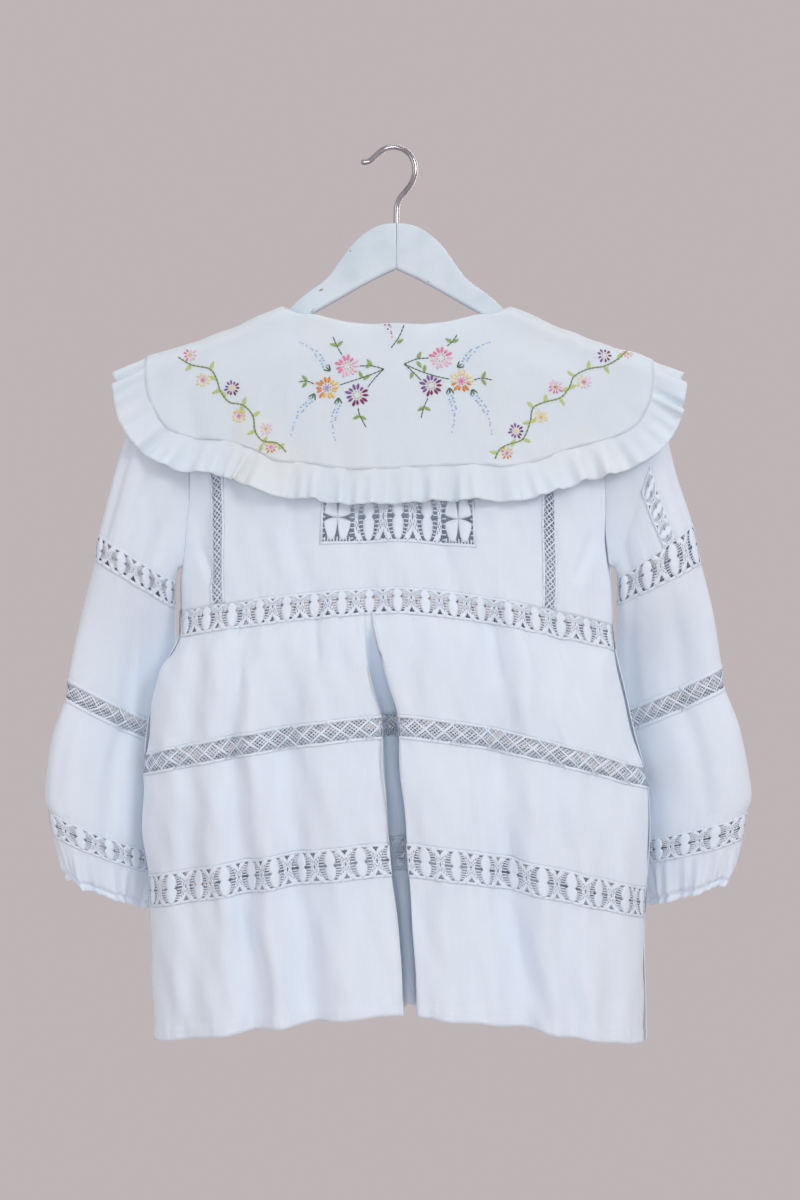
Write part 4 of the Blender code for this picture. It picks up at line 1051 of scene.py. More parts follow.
# Body: tiers of cloth with lace let in between them
CREASES_BACK = [  # (x_from, z_from, x_to, z_to, half_width, depth), as seen from the back
    (-0.070, -0.386, -0.064, -0.440, 0.0035, 0.0012),
    (-0.132, -0.380, -0.128, -0.470, 0.0030, 0.0010),
    (-0.046, -0.380, -0.046, -0.450, 0.0035, 0.0012),
    (0.076, -0.386, 0.088, -0.462, 0.0050, 0.0020),
    (0.106, -0.390, 0.124, -0.470, 0.0040, 0.0014),
    (0.134, -0.396, 0.156, -0.476, 0.0040, 0.0012),
    (-0.026, -0.500, -0.030, -0.570, 0.0040, 0.0010),
    (0.060, -0.512, 0.066, -0.580, 0.0040, 0.0010),
    (-0.124, -0.630, -0.102, -0.735, 0.0050, 0.0020),
    (0.096, -0.630, 0.114, -0.728, 0.0060, 0.0016),
    (-0.085, -0.280, -0.088, -0.360, 0.0060, 0.0012),
    (0.030, -0.300, 0.046, -0.365, 0.0060, 0.0012),
    (-0.168, -0.330, -0.150, -0.372, 0.0045, 0.0018),
    (0.168, -0.320, 0.148, -0.372, 0.0045, 0.0018),
]
CREASES_FRONT = [
    (-0.120, -0.390, -0.112, -0.465, 0.0040, 0.0014),
    (-0.030, -0.385, -0.026, -0.460, 0.0045, 0.0014),
    (0.052, -0.390, 0.062, -0.470, 0.0040, 0.0012),
    (0.128, -0.395, 0.120, -0.470, 0.0050, 0.0016),
    (-0.070, -0.505, -0.064, -0.575, 0.0040, 0.0012),
    (0.020, -0.505, 0.026, -0.580, 0.0045, 0.0012),
    (0.098, -0.620, 0.108, -0.725, 0.0060, 0.0018),
    (-0.100, -0.620, -0.088, -0.725, 0.0060, 0.0018),
    (-0.165, -0.330, -0.148, -0.372, 0.0045, 0.0016),
    (0.165, -0.330, 0.148, -0.372, 0.0045, 0.0016),
]
CREASE_GAIN = 2.2       # how much deeper the creases are made than their tables say
HANG_SWAY = 0.0019      # unevenness of the body's hang
BODY_COLUMNS = 190
BAND_ROWS = 6
OVAL_REPEAT = 0.0265    # sleeves and yoke
TIERS = [  # (name, top, bottom, rows, whether a seam draws in its bottom)
    ("tier_1", BAND_1[1], BAND_2[0], 30, True),
    ("tier_2", BAND_2[1], BAND_3[0], 30, True),
    ("hem_tier", BAND_3[1], HEM, 40, False),
]
BANDS = [  # (name, top, bottom, motif, repeat, share of the height above its middle)
    ("band_1", *BAND_1, oval_motif, 0.0250, 0.36),
    ("band_2", *BAND_2, diamond_motif, 0.0165, 0.50),
    ("band_3", *BAND_3, oval_motif, 0.0270, 0.50),
]
OVERLAP = 0.0012        # lace laps this far over the cloth at each seam
HEM_DEPTH = 0.0100
sewn_lines = []         # (surface, share of its length) of each row of stitching


def hang(surface, face):
    """The uneven hang that a whole side of the blouse shares."""
    side, table = (1, CREASES_BACK) if face == "back" else (-1, CREASES_FRONT)
    relief = troughs(surface.points, table, side) * CREASE_GAIN
    relief += undulate(surface.points, 3 if face == "back" else 4, HANG_SWAY)
    return surface.raise_by(relief)


def turned_hem(surface, depth):
    """A folded edge stands proud by one thickness and puckers along its stitching."""
    step = 1 / (1 + np.exp((surface.above - depth) / 0.0006))
    ripples = ripple(surface.along, 21, (0.0085, 0.0130, 0.0210), 0.0010)
    return step * 0.0006 + ripples * np.exp(-((surface.above - depth * 0.8) / 0.007) ** 2)


for face in ("back", "front"):
    def skirt(u, level, face=face):
        return body_point(face, u, level)

    lips = (LIP_LEFT, LIP_RIGHT) if face == "back" else ()
    for name, top, bottom, rows, sewn in TIERS:
        tier = hang(Surface(skirt, (0.0, 1.0), (top, bottom), BODY_COLUMNS, rows,
                            keep=lips), face)
        relief = pucker(tier, len(name) + ord(face[0]), bottom=sewn)
        if not sewn:
            relief += turned_hem(tier, HEM_DEPTH)
            sewn_lines.append((tier, 1 - HEM_DEPTH * 0.93 / tier.length))
        cloth(name + "_" + face, tier.raise_by(relief), FINISHES["cotton"])
    for name, top, bottom, motif, repeat, middle in BANDS:
        band = hang(Surface(skirt, (0.0, 1.0), (top + OVERLAP, bottom - OVERLAP),
                            BODY_COLUMNS, BAND_ROWS, keep=lips), face)
        lace(name + "_" + face, band, motif, repeat, middle)

# Upper back with its drawn-work panel and narrow strips, and the plain upper front
INSET_ACROSS = (-0.345, 0.360)
INSET_DOWN = (0.640, 0.820)
BACK_STRIPS = [("lace_strip_left", -0.920, -0.810), ("lace_strip_right", 0.790, 0.694)]
STRIP_SHARE = 0.066
STRIP_ENDS = (0.22, 0.997)
STRIP_LIFT = 0.0005
CUT_AWAY = 0.36         # share of a strip's width, to each side, where its cloth is cut away
FLOWER_WIDTH = 0.029


def back_panel(across, down):
    return upper_point("back", across, down)


def front_panel(across, down):
    return upper_point("front", -across, down)


def under_lace(across, down):
    """Where the upper back is cut away behind its lace."""
    if INSET_ACROSS[0] < across < INSET_ACROSS[1] and INSET_DOWN[0] < down < INSET_DOWN[1]:
        return True
    return STRIP_ENDS[0] < down and any(
        abs(across - mix(high, low, down)) < STRIP_SHARE * CUT_AWAY
        for _, high, low in BACK_STRIPS)


upper = hang(Surface(back_panel, (-1, 1), (0.002, 1.0), BODY_COLUMNS, 96), "back")
cloth("upper_back", upper.raise_by(pucker(upper, 5, top=False)), FINISHES["cotton"],
      leave_out=under_lace)
upper = hang(Surface(front_panel, (-1, 1), (0.002, 1.0), 140, 70), "front")
cloth("upper_front", upper.raise_by(pucker(upper, 6, top=False)), FINISHES["cotton"])


def drawn_work(work, width, length):
    for x in (TAPE_WIDTH / 2, width - TAPE_WIDTH / 2):
        ribbon(work, [(x, 0.0), (x, -length / 2), (x, -length)], TAPE_WIDTH, THREAD_LIFT)
    flower_square(work, 0.0005, FLOWER_WIDTH, 0.0, -length)
    flower_square(work, width - FLOWER_WIDTH, width - 0.0005, 0.0, -length)
    repeat_motif(work, oval_motif, width, length, length * 0.5, OVAL_REPEAT, FLOWER_WIDTH,
                 width - FLOWER_WIDTH)


inset = hang(Surface(back_panel, (INSET_ACROSS[0] - 0.010, INSET_ACROSS[1] + 0.010),
                     (INSET_DOWN[0] - 0.008, INSET_DOWN[1] + 0.008), 60, 18), "back")
lace("yoke_inset", inset, None, 0, drawing=drawn_work)
for name, high, low in BACK_STRIPS:
    def strip(u, down, high=high, low=low):
        return upper_point("back", mix(high, low, down) + (u - 0.5) * STRIP_SHARE, down)

    # Drawn along its own length, so the strip's surface is turned a quarter.
    def along_strip(down, u, strip=strip):
        return strip(1 - u, down)

    side_lace = hang(Surface(along_strip, STRIP_ENDS, (0.0, 1.0), 60, 4), "back")
    lace(name, side_lace, diamond_motif, 0.0095, 0.5, lift=STRIP_LIFT)

# Sleeves
SLEEVE_PARTS = [  # (name, first ring, last ring, rows)
    ("upper", 0, 3, 46), ("middle", 4, 6, 36), ("lower", 7, 10, 42), ("cuff", 11, 13, 26),
]
SLEEVE_BANDS = [  # (nodes, first ring, last ring, motif, repeat)
    ("band_a", 3, 4, oval_motif, OVAL_REPEAT),
    ("band_b", 6, 7, diamond_motif, 0.0150),
    ("band_c", 10, 11, oval_motif, OVAL_REPEAT),
]
COLUMN_SHARE = 0.056    # width of the cap's column of lace, as a share of a turn
COLUMN_LIFT = 0.0009
COLUMN_RINGS = (1.05, 2.98)
COLUMN_CUT = (1.08, 2.99)   # rings between which the cap is cut away behind it
CAP_RINGS = 3
COLUMN_PLACES = {"left": (0.88, 0.90), "right": (0.77, 0.795)}  # turns at its top and bottom
SLEEVE_SWAY = 0.0007
SLEEVE_COLUMNS = 112
CUFF_COLUMNS = 208
CUFF_GATHERS = 8
CUFF_SWING = 0.0030
CUFF_CRINKLE = 0.0013   # height of the fine gathers
CUFF_RING = 11          # the cuff's gathers start here
ELASTIC_RING = 12.45
CUFF_PINCH = 0.0024     # how far the elastic draws in

# Creases of the sleeves. A turn runs from the outer line, first round the back on the
# left arm and first round the front on the right.
SLEEVE_FOLDS = [  # (turn, ring_from, ring_to, half_turn, depth)
    (0.10, 0.3, 3.6, 0.030, 0.0030),
    (0.22, 0.4, 5.0, 0.022, 0.0022),
    (0.33, 0.2, 6.8, 0.030, 0.0034),
    (0.27, 4.2, 10.6, 0.020, 0.0040),
    (0.12, 6.9, 9.6, 0.022, 0.0018),
    (0.40, 6.8, 10.4, 0.025, 0.0026),
    (0.62, 0.4, 6.0, 0.030, 0.0026),
    (0.78, 4.0, 10.2, 0.028, 0.0028),
    (0.90, 1.0, 5.0, 0.022, 0.0016),
]


def sleeve_folds(surface, turned=False):
    turns, rings = (surface.turns, surface.us) if turned else (surface.us, surface.vs)
    total = np.zeros(surface.points.shape[:2])
    for turn, first, last, half, depth in SLEEVE_FOLDS:
        away = np.abs((turns - turn + 0.5) % 1 - 0.5) / half
        ends = eased(np.minimum(rings - first, last - rings) * 0.9)
        total -= depth * np.exp(-away ** 2) * ends
    return total


def gathers(surface, seed):
    """Folds that the elastic draws in, from the lace down to the cuff's edge."""
    turns, rings = surface.us, surface.vs
    grow = eased((rings - CUFF_RING) / 1.6)
    broad = np.sin(2 * np.pi * CUFF_GATHERS * turns) * CUFF_SWING * 0.8
    fine = (np.sin(2 * np.pi * 19 * turns + seed + 1.5 * np.sin(2 * np.pi * 3 * turns))
            + 0.6 * np.sin(2 * np.pi * 31 * turns + 2 * seed)) * CUFF_CRINKLE
    pinch = -CUFF_PINCH * np.exp(-((rings - ELASTIC_RING) / 0.16) ** 2)
    start = np.clip((rings - CUFF_RING) * 3, 0, 1)
    return broad * grow + fine * (0.35 + 0.65 * grow) * start + pinch


for side in ("left", "right"):
    def sleeve(u, ring, side=side):
        return sleeve_point(side, u, ring)

    seed = 1 if side == "left" else 2
    high, low = COLUMN_PLACES[side]

    def under_column(u, ring, high=high, low=low):
        return COLUMN_CUT[0] < ring < COLUMN_CUT[1] and abs(
            u - mix(high, low, ring / CAP_RINGS)) < COLUMN_SHARE * CUT_AWAY

    for name, first, last, rows in SLEEVE_PARTS:
        columns = CUFF_COLUMNS if name == "cuff" else SLEEVE_COLUMNS
        part = Surface(sleeve, (0.0, 1.0), (first, last), columns, rows, closed=True)
        part.raise_by(sleeve_folds(part) + undulate(part.points, 30 + seed, SLEEVE_SWAY))
        relief = pucker(part, 40 + seed, size=0.0005, top=first > 0, bottom=name != "cuff",
                        lengths=(0.0090, 0.0140, 0.0210))
        if name == "cuff":
            relief = relief + gathers(part, seed)
        relief[-1] = relief[0]
        cloth("sleeve_" + name + "_" + side, part.raise_by(relief), FINISHES["cotton"],
              leave_out=under_column if name == "upper" else None)
    for name, first, last, motif, repeat in SLEEVE_BANDS:
        if name == "band_b":
            ring = Surface(sleeve, (0.0, 1.0), (first - 0.08, last + 0.08), SLEEVE_COLUMNS,
                           BAND_ROWS, closed=True)
            ring.raise_by(sleeve_folds(ring) + undulate(ring.points, 30 + seed, SLEEVE_SWAY))
            lace("sleeve_band_b_" + side, ring, motif, repeat)
            continue
        for half, (start, end) in enumerate(((0.0, 0.5), (0.5, 1.0))):
            face = "back" if (half == 0) == (side == "left") else "front"
            ring = Surface(sleeve, (start, end), (first - 0.06, last + 0.06),
                           SLEEVE_COLUMNS // 2, BAND_ROWS)
            ring.raise_by(sleeve_folds(ring) + undulate(ring.points, 30 + seed, SLEEVE_SWAY))
            lace("sleeve_" + name + "_" + side + "_" + face, ring, motif, repeat)

    def column_turn(ring, u, high=high, low=low):
        return mix(high, low, ring / CAP_RINGS) + (0.5 - u) * COLUMN_SHARE

    def strip(ring, u, side=side, column_turn=column_turn):
        return sleeve_point(side, column_turn(ring, u), ring)

    column = Surface(strip, COLUMN_RINGS, (0.0, 1.0), 40, 4)
    column.turns = column_turn(column.us, column.vs)
    column.raise_by(sleeve_folds(column, turned=True)
                    + undulate(column.points, 30 + seed, SLEEVE_SWAY))
    lace("sleeve_strip_" + side, column, oval_motif, 0.0245, 0.5, lift=COLUMN_LIFT)

# Collar and ruffle
COLLAR_EDGE = 1.018         # the collar laps over the gathered edge of its ruffle
COLLAR_STITCHES = 0.985     # share of the way out to its edge
COLLAR_ROWS = 46
RUFFLE_TUCK = 0.0009        # its root lies this much under the collar's edge
RUFFLE_ROOT = -0.035        # the strip starts this share of its width under the collar
RUFFLE_ROWS = 14
WAVE_COLUMNS = 20           # columns of its grid to one gather
RUFFLE_MARKS = 240


def round_collar(p, q):
    return collar_point(p if p <= 2 else p - 4, q)


def still_ends(surface):
    """1 over most of a strip and 0 where it is joined at its ends."""
    return np.clip(np.minimum(surface.along, surface.along[-1] - surface.along) / 0.02, 0, 1)


def collar_waves(surface, seed):
    """The collar dips where the shoulder and the ruffle pull on it."""
    return (undulate(surface.points, 8, 0.0010) * surface.vs
            + still_ends(surface) * pucker(surface, seed, size=0.0008, reach=0.010, top=False,
                                           lengths=(0.010, 0.017, 0.026)))


collar_cloths = {}
for face, ends, columns in (("back", (-COLLAR_SEAM, COLLAR_SEAM), 240),
                            ("front", (COLLAR_SEAM, 4 - COLLAR_SEAM), 200)):
    collar = Surface(round_collar, ends, (0.0, COLLAR_EDGE), columns, COLLAR_ROWS)
    collar.raise_by(collar_waves(collar, 8 if face == "back" else 9))
    sewn_lines.append((collar, COLLAR_STITCHES))
    collar_cloths[face] = cloth("collar_" + face, collar, FINISHES["collar"])


def ruffle(face, start, end, waves):
    fine = evenly(round_collar, 1.0, start, end, steps(0, 1, RUFFLE_MARKS))
    share_at = curve([(p, k / RUFFLE_MARKS) for k, p in enumerate(fine)])
    marks = [(k + 0.28 * math.sin(2.4 * k)) / waves if 0 < k < waves else k / waves
             for k in range(waves + 1)]
    phase_at = curve([(mark, float(k)) for k, mark in enumerate(marks)])

    def strip(p, r):
        return ruffle_point(p if p <= 2 else p - 4, r, phase_at(share_at(p)))

    frill = Surface(strip, (start, end), (RUFFLE_ROOT, 1.0), waves * WAVE_COLUMNS, RUFFLE_ROWS)
    share = np.linspace(0, 1, RUFFLE_ROWS + 1)[None, :]
    tucked = RUFFLE_TUCK * np.exp(-share / 0.12)
    uneven = ripple(frill.along, 50, (0.013, 0.026, 0.044), 0.0030) * still_ends(frill)
    frill.raise_by(uneven * share - tucked)
    cloth("ruffle_" + face, frill, FINISHES["collar"])


ruffle("back", -COLLAR_SEAM, COLLAR_SEAM, RUFFLE_WAVES_BACK)
ruffle("front", COLLAR_SEAM, 4 - COLLAR_SEAM, RUFFLE_WAVES_FRONT)

# Needlework: raised stitches in coloured thread, placed where the photograph shows them
PIXEL = 0.00085             # size of a pixel of the photograph at the blouse
PHOTO_MIDDLE = (400, 600)   # (x, y) in pixels, the spot that the camera looks at
PHOTO_HEIGHT = 1200
CAMERA_AWAY = 1.6
CAMERA = Vector((0.0031, -CAMERA_AWAY, -0.3828))
THREADS = {
    "dark green": from_screen(64, 100, 72), "leaf": from_screen(150, 184, 98),
    "vine": from_screen(124, 146, 74), "blue": from_screen(140, 186, 228),
    "lime": from_screen(208, 222, 128), "faint pink": from_screen(246, 216, 228),
    "pink": from_screen(240, 128, 172), "pale pink": from_screen(246, 200, 222),
    "orange": from_screen(230, 142, 44), "yellow": from_screen(242, 200, 92),
    "pale yellow": from_screen(246, 226, 160), "purple": from_screen(134, 84, 156),
    "lilac": from_screen(196, 160, 204), "maroon": from_screen(134, 38, 92),
    "gold": from_screen(214, 160, 60), "white": WHITE,
}
DAISIES = [  # (x, y, radius, petals, first colour, second colour, its way, heart)
    (347, 366, 12.5, 13, "pink", "pale pink", -45, "gold"),
    (327, 388, 12.5, 14, "orange", "yellow", -40, "lilac"),
    (357, 395, 12.5, 13, "purple", "maroon", -45, "gold"),
    (441, 358, 12.5, 13, "pink", "pale pink", -90, "gold"),
    (461.5, 381, 12.5, 14, "orange", "pale yellow", 90, "pink"),
    (431, 385.5, 12.0, 13, "purple", "maroon", -45, "gold"),
    (190, 355, 7.5, 9, "pink", "pale pink", 0, "yellow"),
    (203, 380, 8.0, 10, "pale yellow", "pale yellow", 0, "pink"),
    (232, 388, 8.5, 11, "purple", "maroon", -30, "pale yellow"),
    (239, 416, 8.0, 10, "pale yellow", "yellow", 60, "pink"),
    (266, 429, 7.0, 9, "faint pink", "pale pink", 0, "yellow"),
    (271, 447, 7.0, 9, "orange", "yellow", 90, "pink"),
    (507, 453, 7.0, 9, "orange", "yellow", 60, "pink"),
    (516, 431, 8.5, 11, "purple", "maroon", 0, "pale yellow"),
    (541, 417, 7.5, 10, "pale yellow", "pale yellow", 0, "yellow"),
    (555.5, 387, 8.0, 10, "pink", "pale pink", 90, "orange"),
    (584, 382, 8.0, 10, "pale yellow", "faint pink", 0, "pink"),
    (604.5, 355.5, 8.0, 9, "purple", "maroon", 0, "gold"),
    (628, 354, 6.5, 8, "pink", "pale pink", 0, "yellow"),
]
STEMS = [  # (thread, stem's places in the photograph)
    ("dark green", (384, 369), (372, 366), (360, 366)),
    ("dark green", (384, 369), (370, 375), (355, 380), (340, 385)),
    ("dark green", (384, 369), (375, 378), (368, 387)),
    ("dark green", (342, 355), (337, 346), (333, 337)),
    ("dark green", (314, 384), (307, 381), (299, 382)),
    ("dark green", (358, 408), (360, 416), (366, 427)),
    ("dark green", (404, 364), (417, 359), (429, 358)),
    ("dark green", (404, 364), (420, 371), (435, 376), (449, 379)),
    ("dark green", (404, 364), (413, 372), (421, 380)),
    ("dark green", (447, 346), (452, 342), (457, 335)),
    ("dark green", (474, 380), (482, 378), (492, 380)),
    ("dark green", (428, 398), (424, 407), (421, 418)),
    ("dark green", (404, 325), (399, 337), (391, 348)),
    ("vine", (178, 357), (192, 365), (210, 369), (217, 380), (220, 390), (229, 402),
     (243, 405), (253, 416), (255, 431), (263, 441), (277, 443), (286, 452)),
    ("vine", (495, 459), (500, 449), (511, 443.5), (523, 439), (530, 422), (533, 408),
     (545, 402), (560, 398), (569, 388), (574, 376.5), (588, 369), (604.5, 366),
     (618, 359), (627, 351)),
]
LEAVES = [  # (x, y, its way, length), the way in degrees with 90 upwards
    (372, 366, 125, 8), (370, 375, 215, 8), (366, 368, 50, 7), (362, 378, 110, 7),
    (337, 346, 160, 7), (337, 346, 40, 7), (307, 381, 130, 7), (307, 382, 230, 7),
    (360, 416, 200, 7), (360, 416, 330, 7), (417, 359, 60, 8), (417, 361, 300, 8),
    (424, 372, 80, 7), (413, 372, 250, 7), (452, 342, 150, 7), (452, 342, 20, 7),
    (482, 378, 60, 7), (482, 379, 300, 7), (424, 407, 210, 7), (424, 407, 330, 7),
    (397, 343, 30, 7),
]
VINE_LEAVES = [
    (192, 365, 220, 8), (210, 369, 60, 8), (217, 380, 150, 8), (220, 390, 200, 8),
    (220, 391, 320, 8), (243, 405, 70, 8), (243, 405, 250, 8), (253, 416, 30, 8),
    (255, 431, 200, 8), (263, 444, 60, 8), (263, 444, 240, 8), (278, 449, 40, 8),
    (498, 453, 170, 8), (511, 446.5, 60, 8), (523, 439, 340, 8), (530, 422, 190, 8),
    (530, 422, 20, 8), (533, 408, 130, 8), (545, 402, 80, 8), (560, 398, 300, 8),
    (569, 388, 20, 8), (569, 388, 200, 8), (574, 376.5, 140, 8), (588, 369, 80, 8),
    (604.5, 366, 300, 8), (618, 359, 60, 8),
]
TRAILS = [  # (x_from, y_from, x_to, y_to) of the blue knots, with green fingers at the start
    (325, 366, 299.5, 341), (311, 400, 292, 434), (338, 405, 335.5, 441),
    (463, 363, 490, 341), (450, 395, 451.6, 432), (475, 396, 491, 434),
]
TOP_TRAIL = (387, 325, 392, 338)
STEM_THREADS = {"dark green": 0.0011, "vine": 0.0015}
STEM_STITCH = 3.4       # pixels
LEAF_THREAD = 0.0010
LEAF_STITCHES = 6
FINGER_THREAD = 0.0013
KNOT_PITCH = 0.0033
HEART_KNOTS = 8


def thread_bead(work, middle, way, normal, size):
    """A rounded stitch: way and normal are unit vectors at right angles."""
    turn = Matrix((way, normal.cross(way), normal)).transposed().to_4x4()
    made = bmesh.ops.create_icosphere(
        work, subdivisions=1, radius=1.0,
        matrix=Matrix.Translation(middle) @ turn @ Matrix.Diagonal((*size, 1)))
    return made["verts"]


class Needlework:
    """Stitches laid on a cloth, each a small raised bead of thread."""

    def __init__(self, ground):
        mesh = ground.data
        self.tree = BVHTree.FromPolygons([v.co for v in mesh.vertices],
                                         [p.vertices[:] for p in mesh.polygons])
        self.work = bmesh.new()
        self.dye = self.work.loops.layers.float_color.new("thread")

    def seen(self, x, y):
        """The cloth's place and outward way at a pixel of the photograph."""
        way = Vector(((x - PHOTO_MIDDLE[0]) * PIXEL, -CAMERA.y, (PHOTO_MIDDLE[1] - y) * PIXEL))
        spot, normal = self.tree.ray_cast(CAMERA, way.normalized())[:2]
        if spot is None:
            spot, normal = self.tree.find_nearest(CAMERA + way)[:2]
        return spot, normal

    def below(self, spot, normal):
        """The cloth's place under a spot just above it."""
        found, facing = self.tree.ray_cast(spot + normal * 0.012, -normal)[:2]
        return (found, facing) if found else (spot, normal)

    def frame(self, x, y):
        """A function that finds the cloth under a small flat drawing around a pixel."""
        spot, normal = self.seen(x, y)
        right = (Vector((1, 0, 0)) - normal * normal.x).normalized()
        up = normal.cross(right)
        return lambda a, b: self.below(spot + right * a + up * b, normal)

    def bead(self, spot, way, normal, length, width, colour, height=0.45):
        along = (way - normal * way.dot(normal)).normalized()
        made = thread_bead(self.work, spot, along, normal,
                           (length / 2, width / 2, width * height))
        for face in faces_of(made):
            for loop in face.loops:
                loop[self.dye] = (*colour, 1.0)

    def stitch(self, one, other, width, colour):
        middle, normal = (one[0] + other[0]) / 2, (one[1] + other[1]).normalized()
        way = other[0] - one[0]
        if way.length > 1e-5:
            self.bead(middle + normal * width * 0.15, way, normal, way.length + width * 0.5,
                      width, colour)

    def knot(self, place, radius, colour):
        spot, normal = place
        self.bead(spot + normal * radius * 0.4, Vector((1, 0, 0.3)), normal, radius * 2,
                  radius * 2, colour, 0.42)

    def daisy(self, x, y, radius, petals, first, second, way, heart):
        place = self.frame(x, y)
        reach = radius * PIXEL
        inner = reach * 0.42
        for k in range(petals):
            turn = 2 * math.pi * (k + 0.22 * math.sin(3.1 * k)) / petals
            side = math.cos(turn - math.radians(way))
            name = second if side > 0.12 * math.sin(5 * k) else first
            outer = reach * (0.93 + 0.10 * math.sin(2.3 * k))
            for strand in (-1, 0, 1):
                lean = turn + strand * 1.05 / petals
                shade = tuple(c * (1.0 - 0.16 * (strand == -1)) for c in THREADS[name])
                end = outer * (0.90 if strand else 1.0)
                self.stitch(place(inner * math.cos(turn), inner * math.sin(turn)),
                            place(end * math.cos(lean), end * math.sin(lean)),
                            reach * 0.15, shade)
        for k in range(HEART_KNOTS):
            turn = 2 * math.pi * k / HEART_KNOTS + 0.3
            self.knot(place(inner * 0.68 * math.cos(turn), inner * 0.68 * math.sin(turn)),
                      reach * 0.065, THREADS[heart])
        if heart != "gold":
            for turn in (0.4, 1.9, 3.4, 4.9):
                self.knot(place(inner * 0.28 * math.cos(turn), inner * 0.28 * math.sin(turn)),
                          reach * 0.10, THREADS[heart])

    def stem(self, thread, *path):
        knots = [Vector(spot) for spot in path]
        fine = [through(knots, t) for t in steps(0, len(path) - 1, 12 * len(path))]
        start, spots = fine[0], [fine[0]]
        for spot in fine:
            if math.dist(start, spot) >= STEM_STITCH:
                spots.append(spot)
                start = spot
        spots.append(fine[-1])
        places = [self.seen(*spot) for spot in spots]
        for one, other in zip(places, places[1:]):
            self.stitch(one, other, STEM_THREADS[thread], THREADS[thread])

    def leaf(self, x, y, way, length, thread):
        place = self.frame(x, y)
        reach, turn = length * PIXEL, math.radians(way)
        along, across = (math.cos(turn), math.sin(turn)), (-math.sin(turn), math.cos(turn))
        for k in range(LEAF_STITCHES):
            t = (k + 0.8) / LEAF_STITCHES
            half = reach * 0.26 * math.sin(math.pi * min(t * 0.92 + 0.06, 1)) + 0.0002
            ends = [place(along[0] * reach * (t + s * 0.09) + across[0] * half * s,
                          along[1] * reach * (t + s * 0.09) + across[1] * half * s)
                    for s in (-1, 1)]
            shade = tuple(c * (0.90 + 0.10 * (k % 2)) for c in THREADS[thread])
            self.stitch(*ends, LEAF_THREAD, shade)

    def trail(self, x_from, y_from, x_to, y_to, fingers=True, threads=("blue",)):
        place = self.frame(x_from, y_from)
        run = Vector(((x_to - x_from) * PIXEL, (y_from - y_to) * PIXEL))
        along = run.normalized()
        across = Vector((-along.y, along.x))
        count = max(round(run.length / KNOT_PITCH), 3)
        for k in range(count + 1):
            t = k / count
            row = (-1, 1) if t < 0.5 else (0,)
            for n, s in enumerate(row):
                bow = run.length * 0.10 * math.sin(math.pi * t) * (-1 if run.x < 0 else 1)
                spot = (run * t + across * (s * 0.0016 + bow)
                        + along * 0.0008 * math.sin(4 * k + 2 * s))
                self.knot(place(spot.x, spot.y), mix(0.00088, 0.00068, t),
                          THREADS[threads[(k + n) % len(threads)]])
        if fingers:
            for s in (-1, 0, 1):
                tip = along * -0.0010 + across * s * 0.0034
                root = along * -0.0064 + across * s * 0.0004
                self.stitch(place(root.x, root.y), place(tip.x, tip.y), FINGER_THREAD,
                            THREADS["dark green"])


needle = Needlework(collar_cloths["back"])
for row in STEMS:
    needle.stem(*row)
for rows, thread in ((LEAVES, "leaf"), (VINE_LEAVES, "lime")):
    for row in rows:
        needle.leaf(*row, thread)
for row in TRAILS:
    needle.trail(*row)
needle.trail(*TOP_TRAIL, fingers=False, threads=("pink", "purple"))
for row in DAISIES:
    needle.daisy(*row)
add_piece("embroidery", needle.work, FINISHES["stitches"])

# White sewing along the hem and the collar's edge
SEAM_STITCH = 0.0026
SEAM_THREAD = 0.00042


def seam_line(work, surface, below):
    """A row of machine stitches, one height down the cloth."""
    count = round(surface.width / SEAM_STITCH)
    shares = np.array(steps(0.0, 1.0, count * 4))
    depth = np.full(shares.shape, below)
    line = surface.at(shares, depth, np.full(shares.shape, 0.00005))
    for k in range(count):
        one, other = (Vector(line[4 * k + n]) for n in (0, 3))
        way = other - one
        normal = Vector(surface.at(shares[4 * k:4 * k + 1], depth[:1], np.array([1.0]))[0]
                        - line[4 * k]).normalized()
        thread_bead(work, (one + other) / 2, way.normalized(), normal,
                    (way.length / 2, SEAM_THREAD / 2, SEAM_THREAD * 0.6))


sewing = bmesh.new()
for surface, below in sewn_lines:
    seam_line(sewing, surface, below)
sewing.loops.layers.uv.new("cut")
add_piece("seam_stitches", sewing, FINISHES["lace"])

# Hanger
WOOD_POWER = 6.0        # squareness of the wood's section
WOOD_END = 0.1800
WOOD_ROUND = 0.0007
WOOD_STATIONS = [WOOD_START, 0.0004, 0.0009, *steps(0.003, 0.1765, 58),
                 0.1778, 0.1788, 0.1795, WOOD_END]
WOOD_SIDES = 56
WIRE_STEPS = 120
WIRE_SIDES = 24
WIRE_TIP = (15, 30, 45, 60, 75, 86)     # degrees round its cut end


def close_up(work, doubles):
    """Joins a tube along its seam, caps its ends and turns its faces outwards."""
    bmesh.ops.remove_doubles(work, verts=work.verts, dist=doubles)
    bmesh.ops.holes_fill(work, edges=[edge for edge in work.edges if edge.is_boundary])
    bmesh.ops.recalc_face_normals(work, faces=work.faces)
    return work


def wood_section(x, turn):
    top, bottom = wood_top(x), wood_bottom(x)
    round_off = WOOD_ROUND * (max(1 - x / 0.0009, 0) ** 2
                              + max(1 - (WOOD_END - x) / 0.003, 0) ** 2 * 3)
    deep, high = WOOD_THICKNESS / 2 - round_off, (top - bottom) / 2 - round_off

    def bent(value):
        return math.copysign(abs(value) ** (2 / WOOD_POWER), value)
    return Vector((x, deep * bent(math.cos(turn)),
                   (top + bottom) / 2 + high * bent(math.sin(turn))))


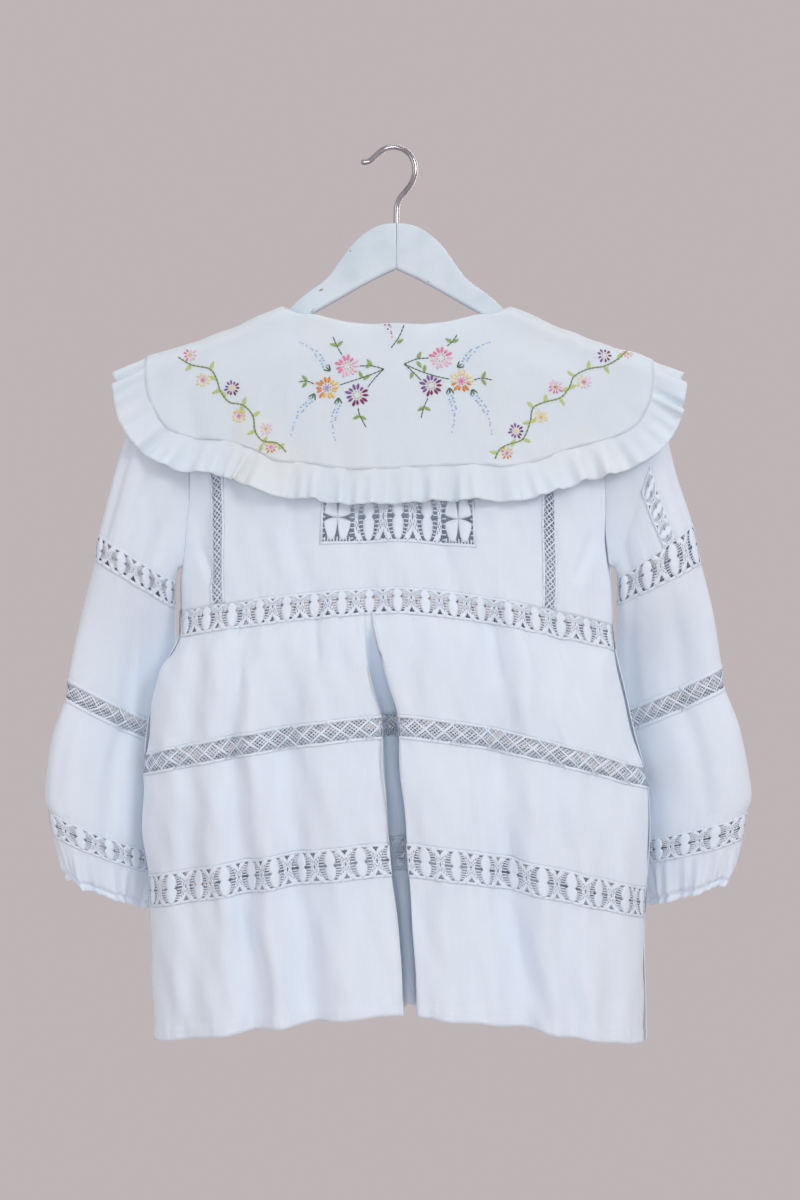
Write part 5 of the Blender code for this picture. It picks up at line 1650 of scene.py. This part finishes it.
def wood_half(name, side):
    work = bmesh.new()
    last = len(WOOD_STATIONS) - 1

    def place(a, b):
        point = wood_section(WOOD_STATIONS[round(a * last)], 2 * math.pi * b)
        point.x *= side
        return point
    patch(work, last, WOOD_SIDES, place)
    piece = add_piece(name + "_wood", close_up(work, 1e-6), FINISHES["paint"],
                      (name,))
    for polygon in piece.data.polygons:
        polygon.use_smooth = len(polygon.vertices) == 4


wood_half("hanger_left", -1)
wood_half("hanger_right", 1)


def wire():
    work = bmesh.new()
    knots = [Vector((x, 0, z)) for x, z in HOOK_PATH]
    spots = [through(knots, t) for t in steps(0, len(HOOK_PATH) - 1, WIRE_STEPS)]
    radii = [HOOK_RADIUS] * len(spots)
    ahead = (spots[-1] - spots[-2]).normalized()
    for angle in WIRE_TIP:
        turn = math.radians(angle)
        spots.append(spots[WIRE_STEPS] + ahead * HOOK_RADIUS * math.sin(turn))
        radii.append(HOOK_RADIUS * math.cos(turn))
    last = len(spots) - 1

    def place(a, b):
        k = round(a * last)
        along = (spots[min(k + 1, last)] - spots[max(k - 1, 0)]).normalized()
        side = along.cross(Vector((0, 1, 0)))
        turn = 2 * math.pi * b
        return spots[k] + (side * math.cos(turn) + Vector((0, 1, 0)) * math.sin(turn)) * radii[k]
    patch(work, last, WIRE_SIDES, place)
    add_piece("hook_wire", close_up(work, 1e-7), FINISHES["chrome"], ("hook",))


wire()

# Stage, light and camera
STAGE_Z = -1.6          # the floor's height
STAGE_RADIUS = 2.2
BACKDROP = from_screen(189, 179, 181)

floor = bmesh.new()
bmesh.ops.create_circle(floor, cap_ends=True, segments=64, radius=STAGE_RADIUS)
bmesh.ops.translate(floor, verts=floor.verts, vec=(0, 0, STAGE_Z))
ground = Finish("stage_floor", {"Roughness": 0.9, "Base Color": (*BACKDROP, 1)})
stage = pieces_mesh(floor, "floor", ground.material)

scene = bpy.context.scene
world = bpy.data.worlds.new("studio")
scene.world = world
world.use_nodes = True
sky = next(n for n in world.node_tree.nodes if n.type == "BACKGROUND")
sky.inputs["Color"].default_value = (*BACKDROP, 1)
sky.inputs["Strength"].default_value = 1.0
scene.view_settings.view_transform = "Standard"

LIGHTS = [  # (name, place, size, power, colour), all aimed at the blouse
    ("key_light", (1.6, -2.1, 0.8), 1.1, 26.0, (0.95, 0.98, 1.0)),
    ("front_light", (0.05, -2.5, -0.45), 0.7, 11.5, (0.96, 0.98, 1.0)),
    ("fill_light", (-1.9, -1.7, 0.1), 1.8, 10.0, (0.94, 0.98, 1.0)),
    ("top_light", (0.2, -0.5, 1.9), 1.4, 6.0, (0.95, 0.98, 1.0)),
    ("rear_light", (0.7, 2.0, 0.6), 1.6, 27.0, (1.0, 0.98, 0.95)),
]
AIM = Vector((0.0, 0.0, -0.40))


def aim(thing, spot):
    thing.location = spot
    thing.rotation_euler = (AIM - Vector(spot)).to_track_quat("-Z", "Y").to_euler()


for name, spot, size, power, colour in LIGHTS:
    lamp = bpy.data.lights.new(name, "AREA")
    lamp.shape = "DISK"
    lamp.size = size
    lamp.energy = power
    lamp.color = colour
    light = bpy.data.objects.new(name, lamp)
    scene.collection.objects.link(light)
    aim(light, spot)

SENSOR = 36.0           # height of the camera's sensor in millimetres
lens = bpy.data.cameras.new("camera")
lens.sensor_fit = "VERTICAL"
lens.sensor_height = SENSOR
lens.lens = SENSOR * CAMERA_AWAY / (PHOTO_HEIGHT * PIXEL)
camera = bpy.data.objects.new("camera", lens)
scene.collection.objects.link(camera)
camera.location = CAMERA
camera.rotation_euler = (math.radians(90), 0, 0)
scene.camera = camera
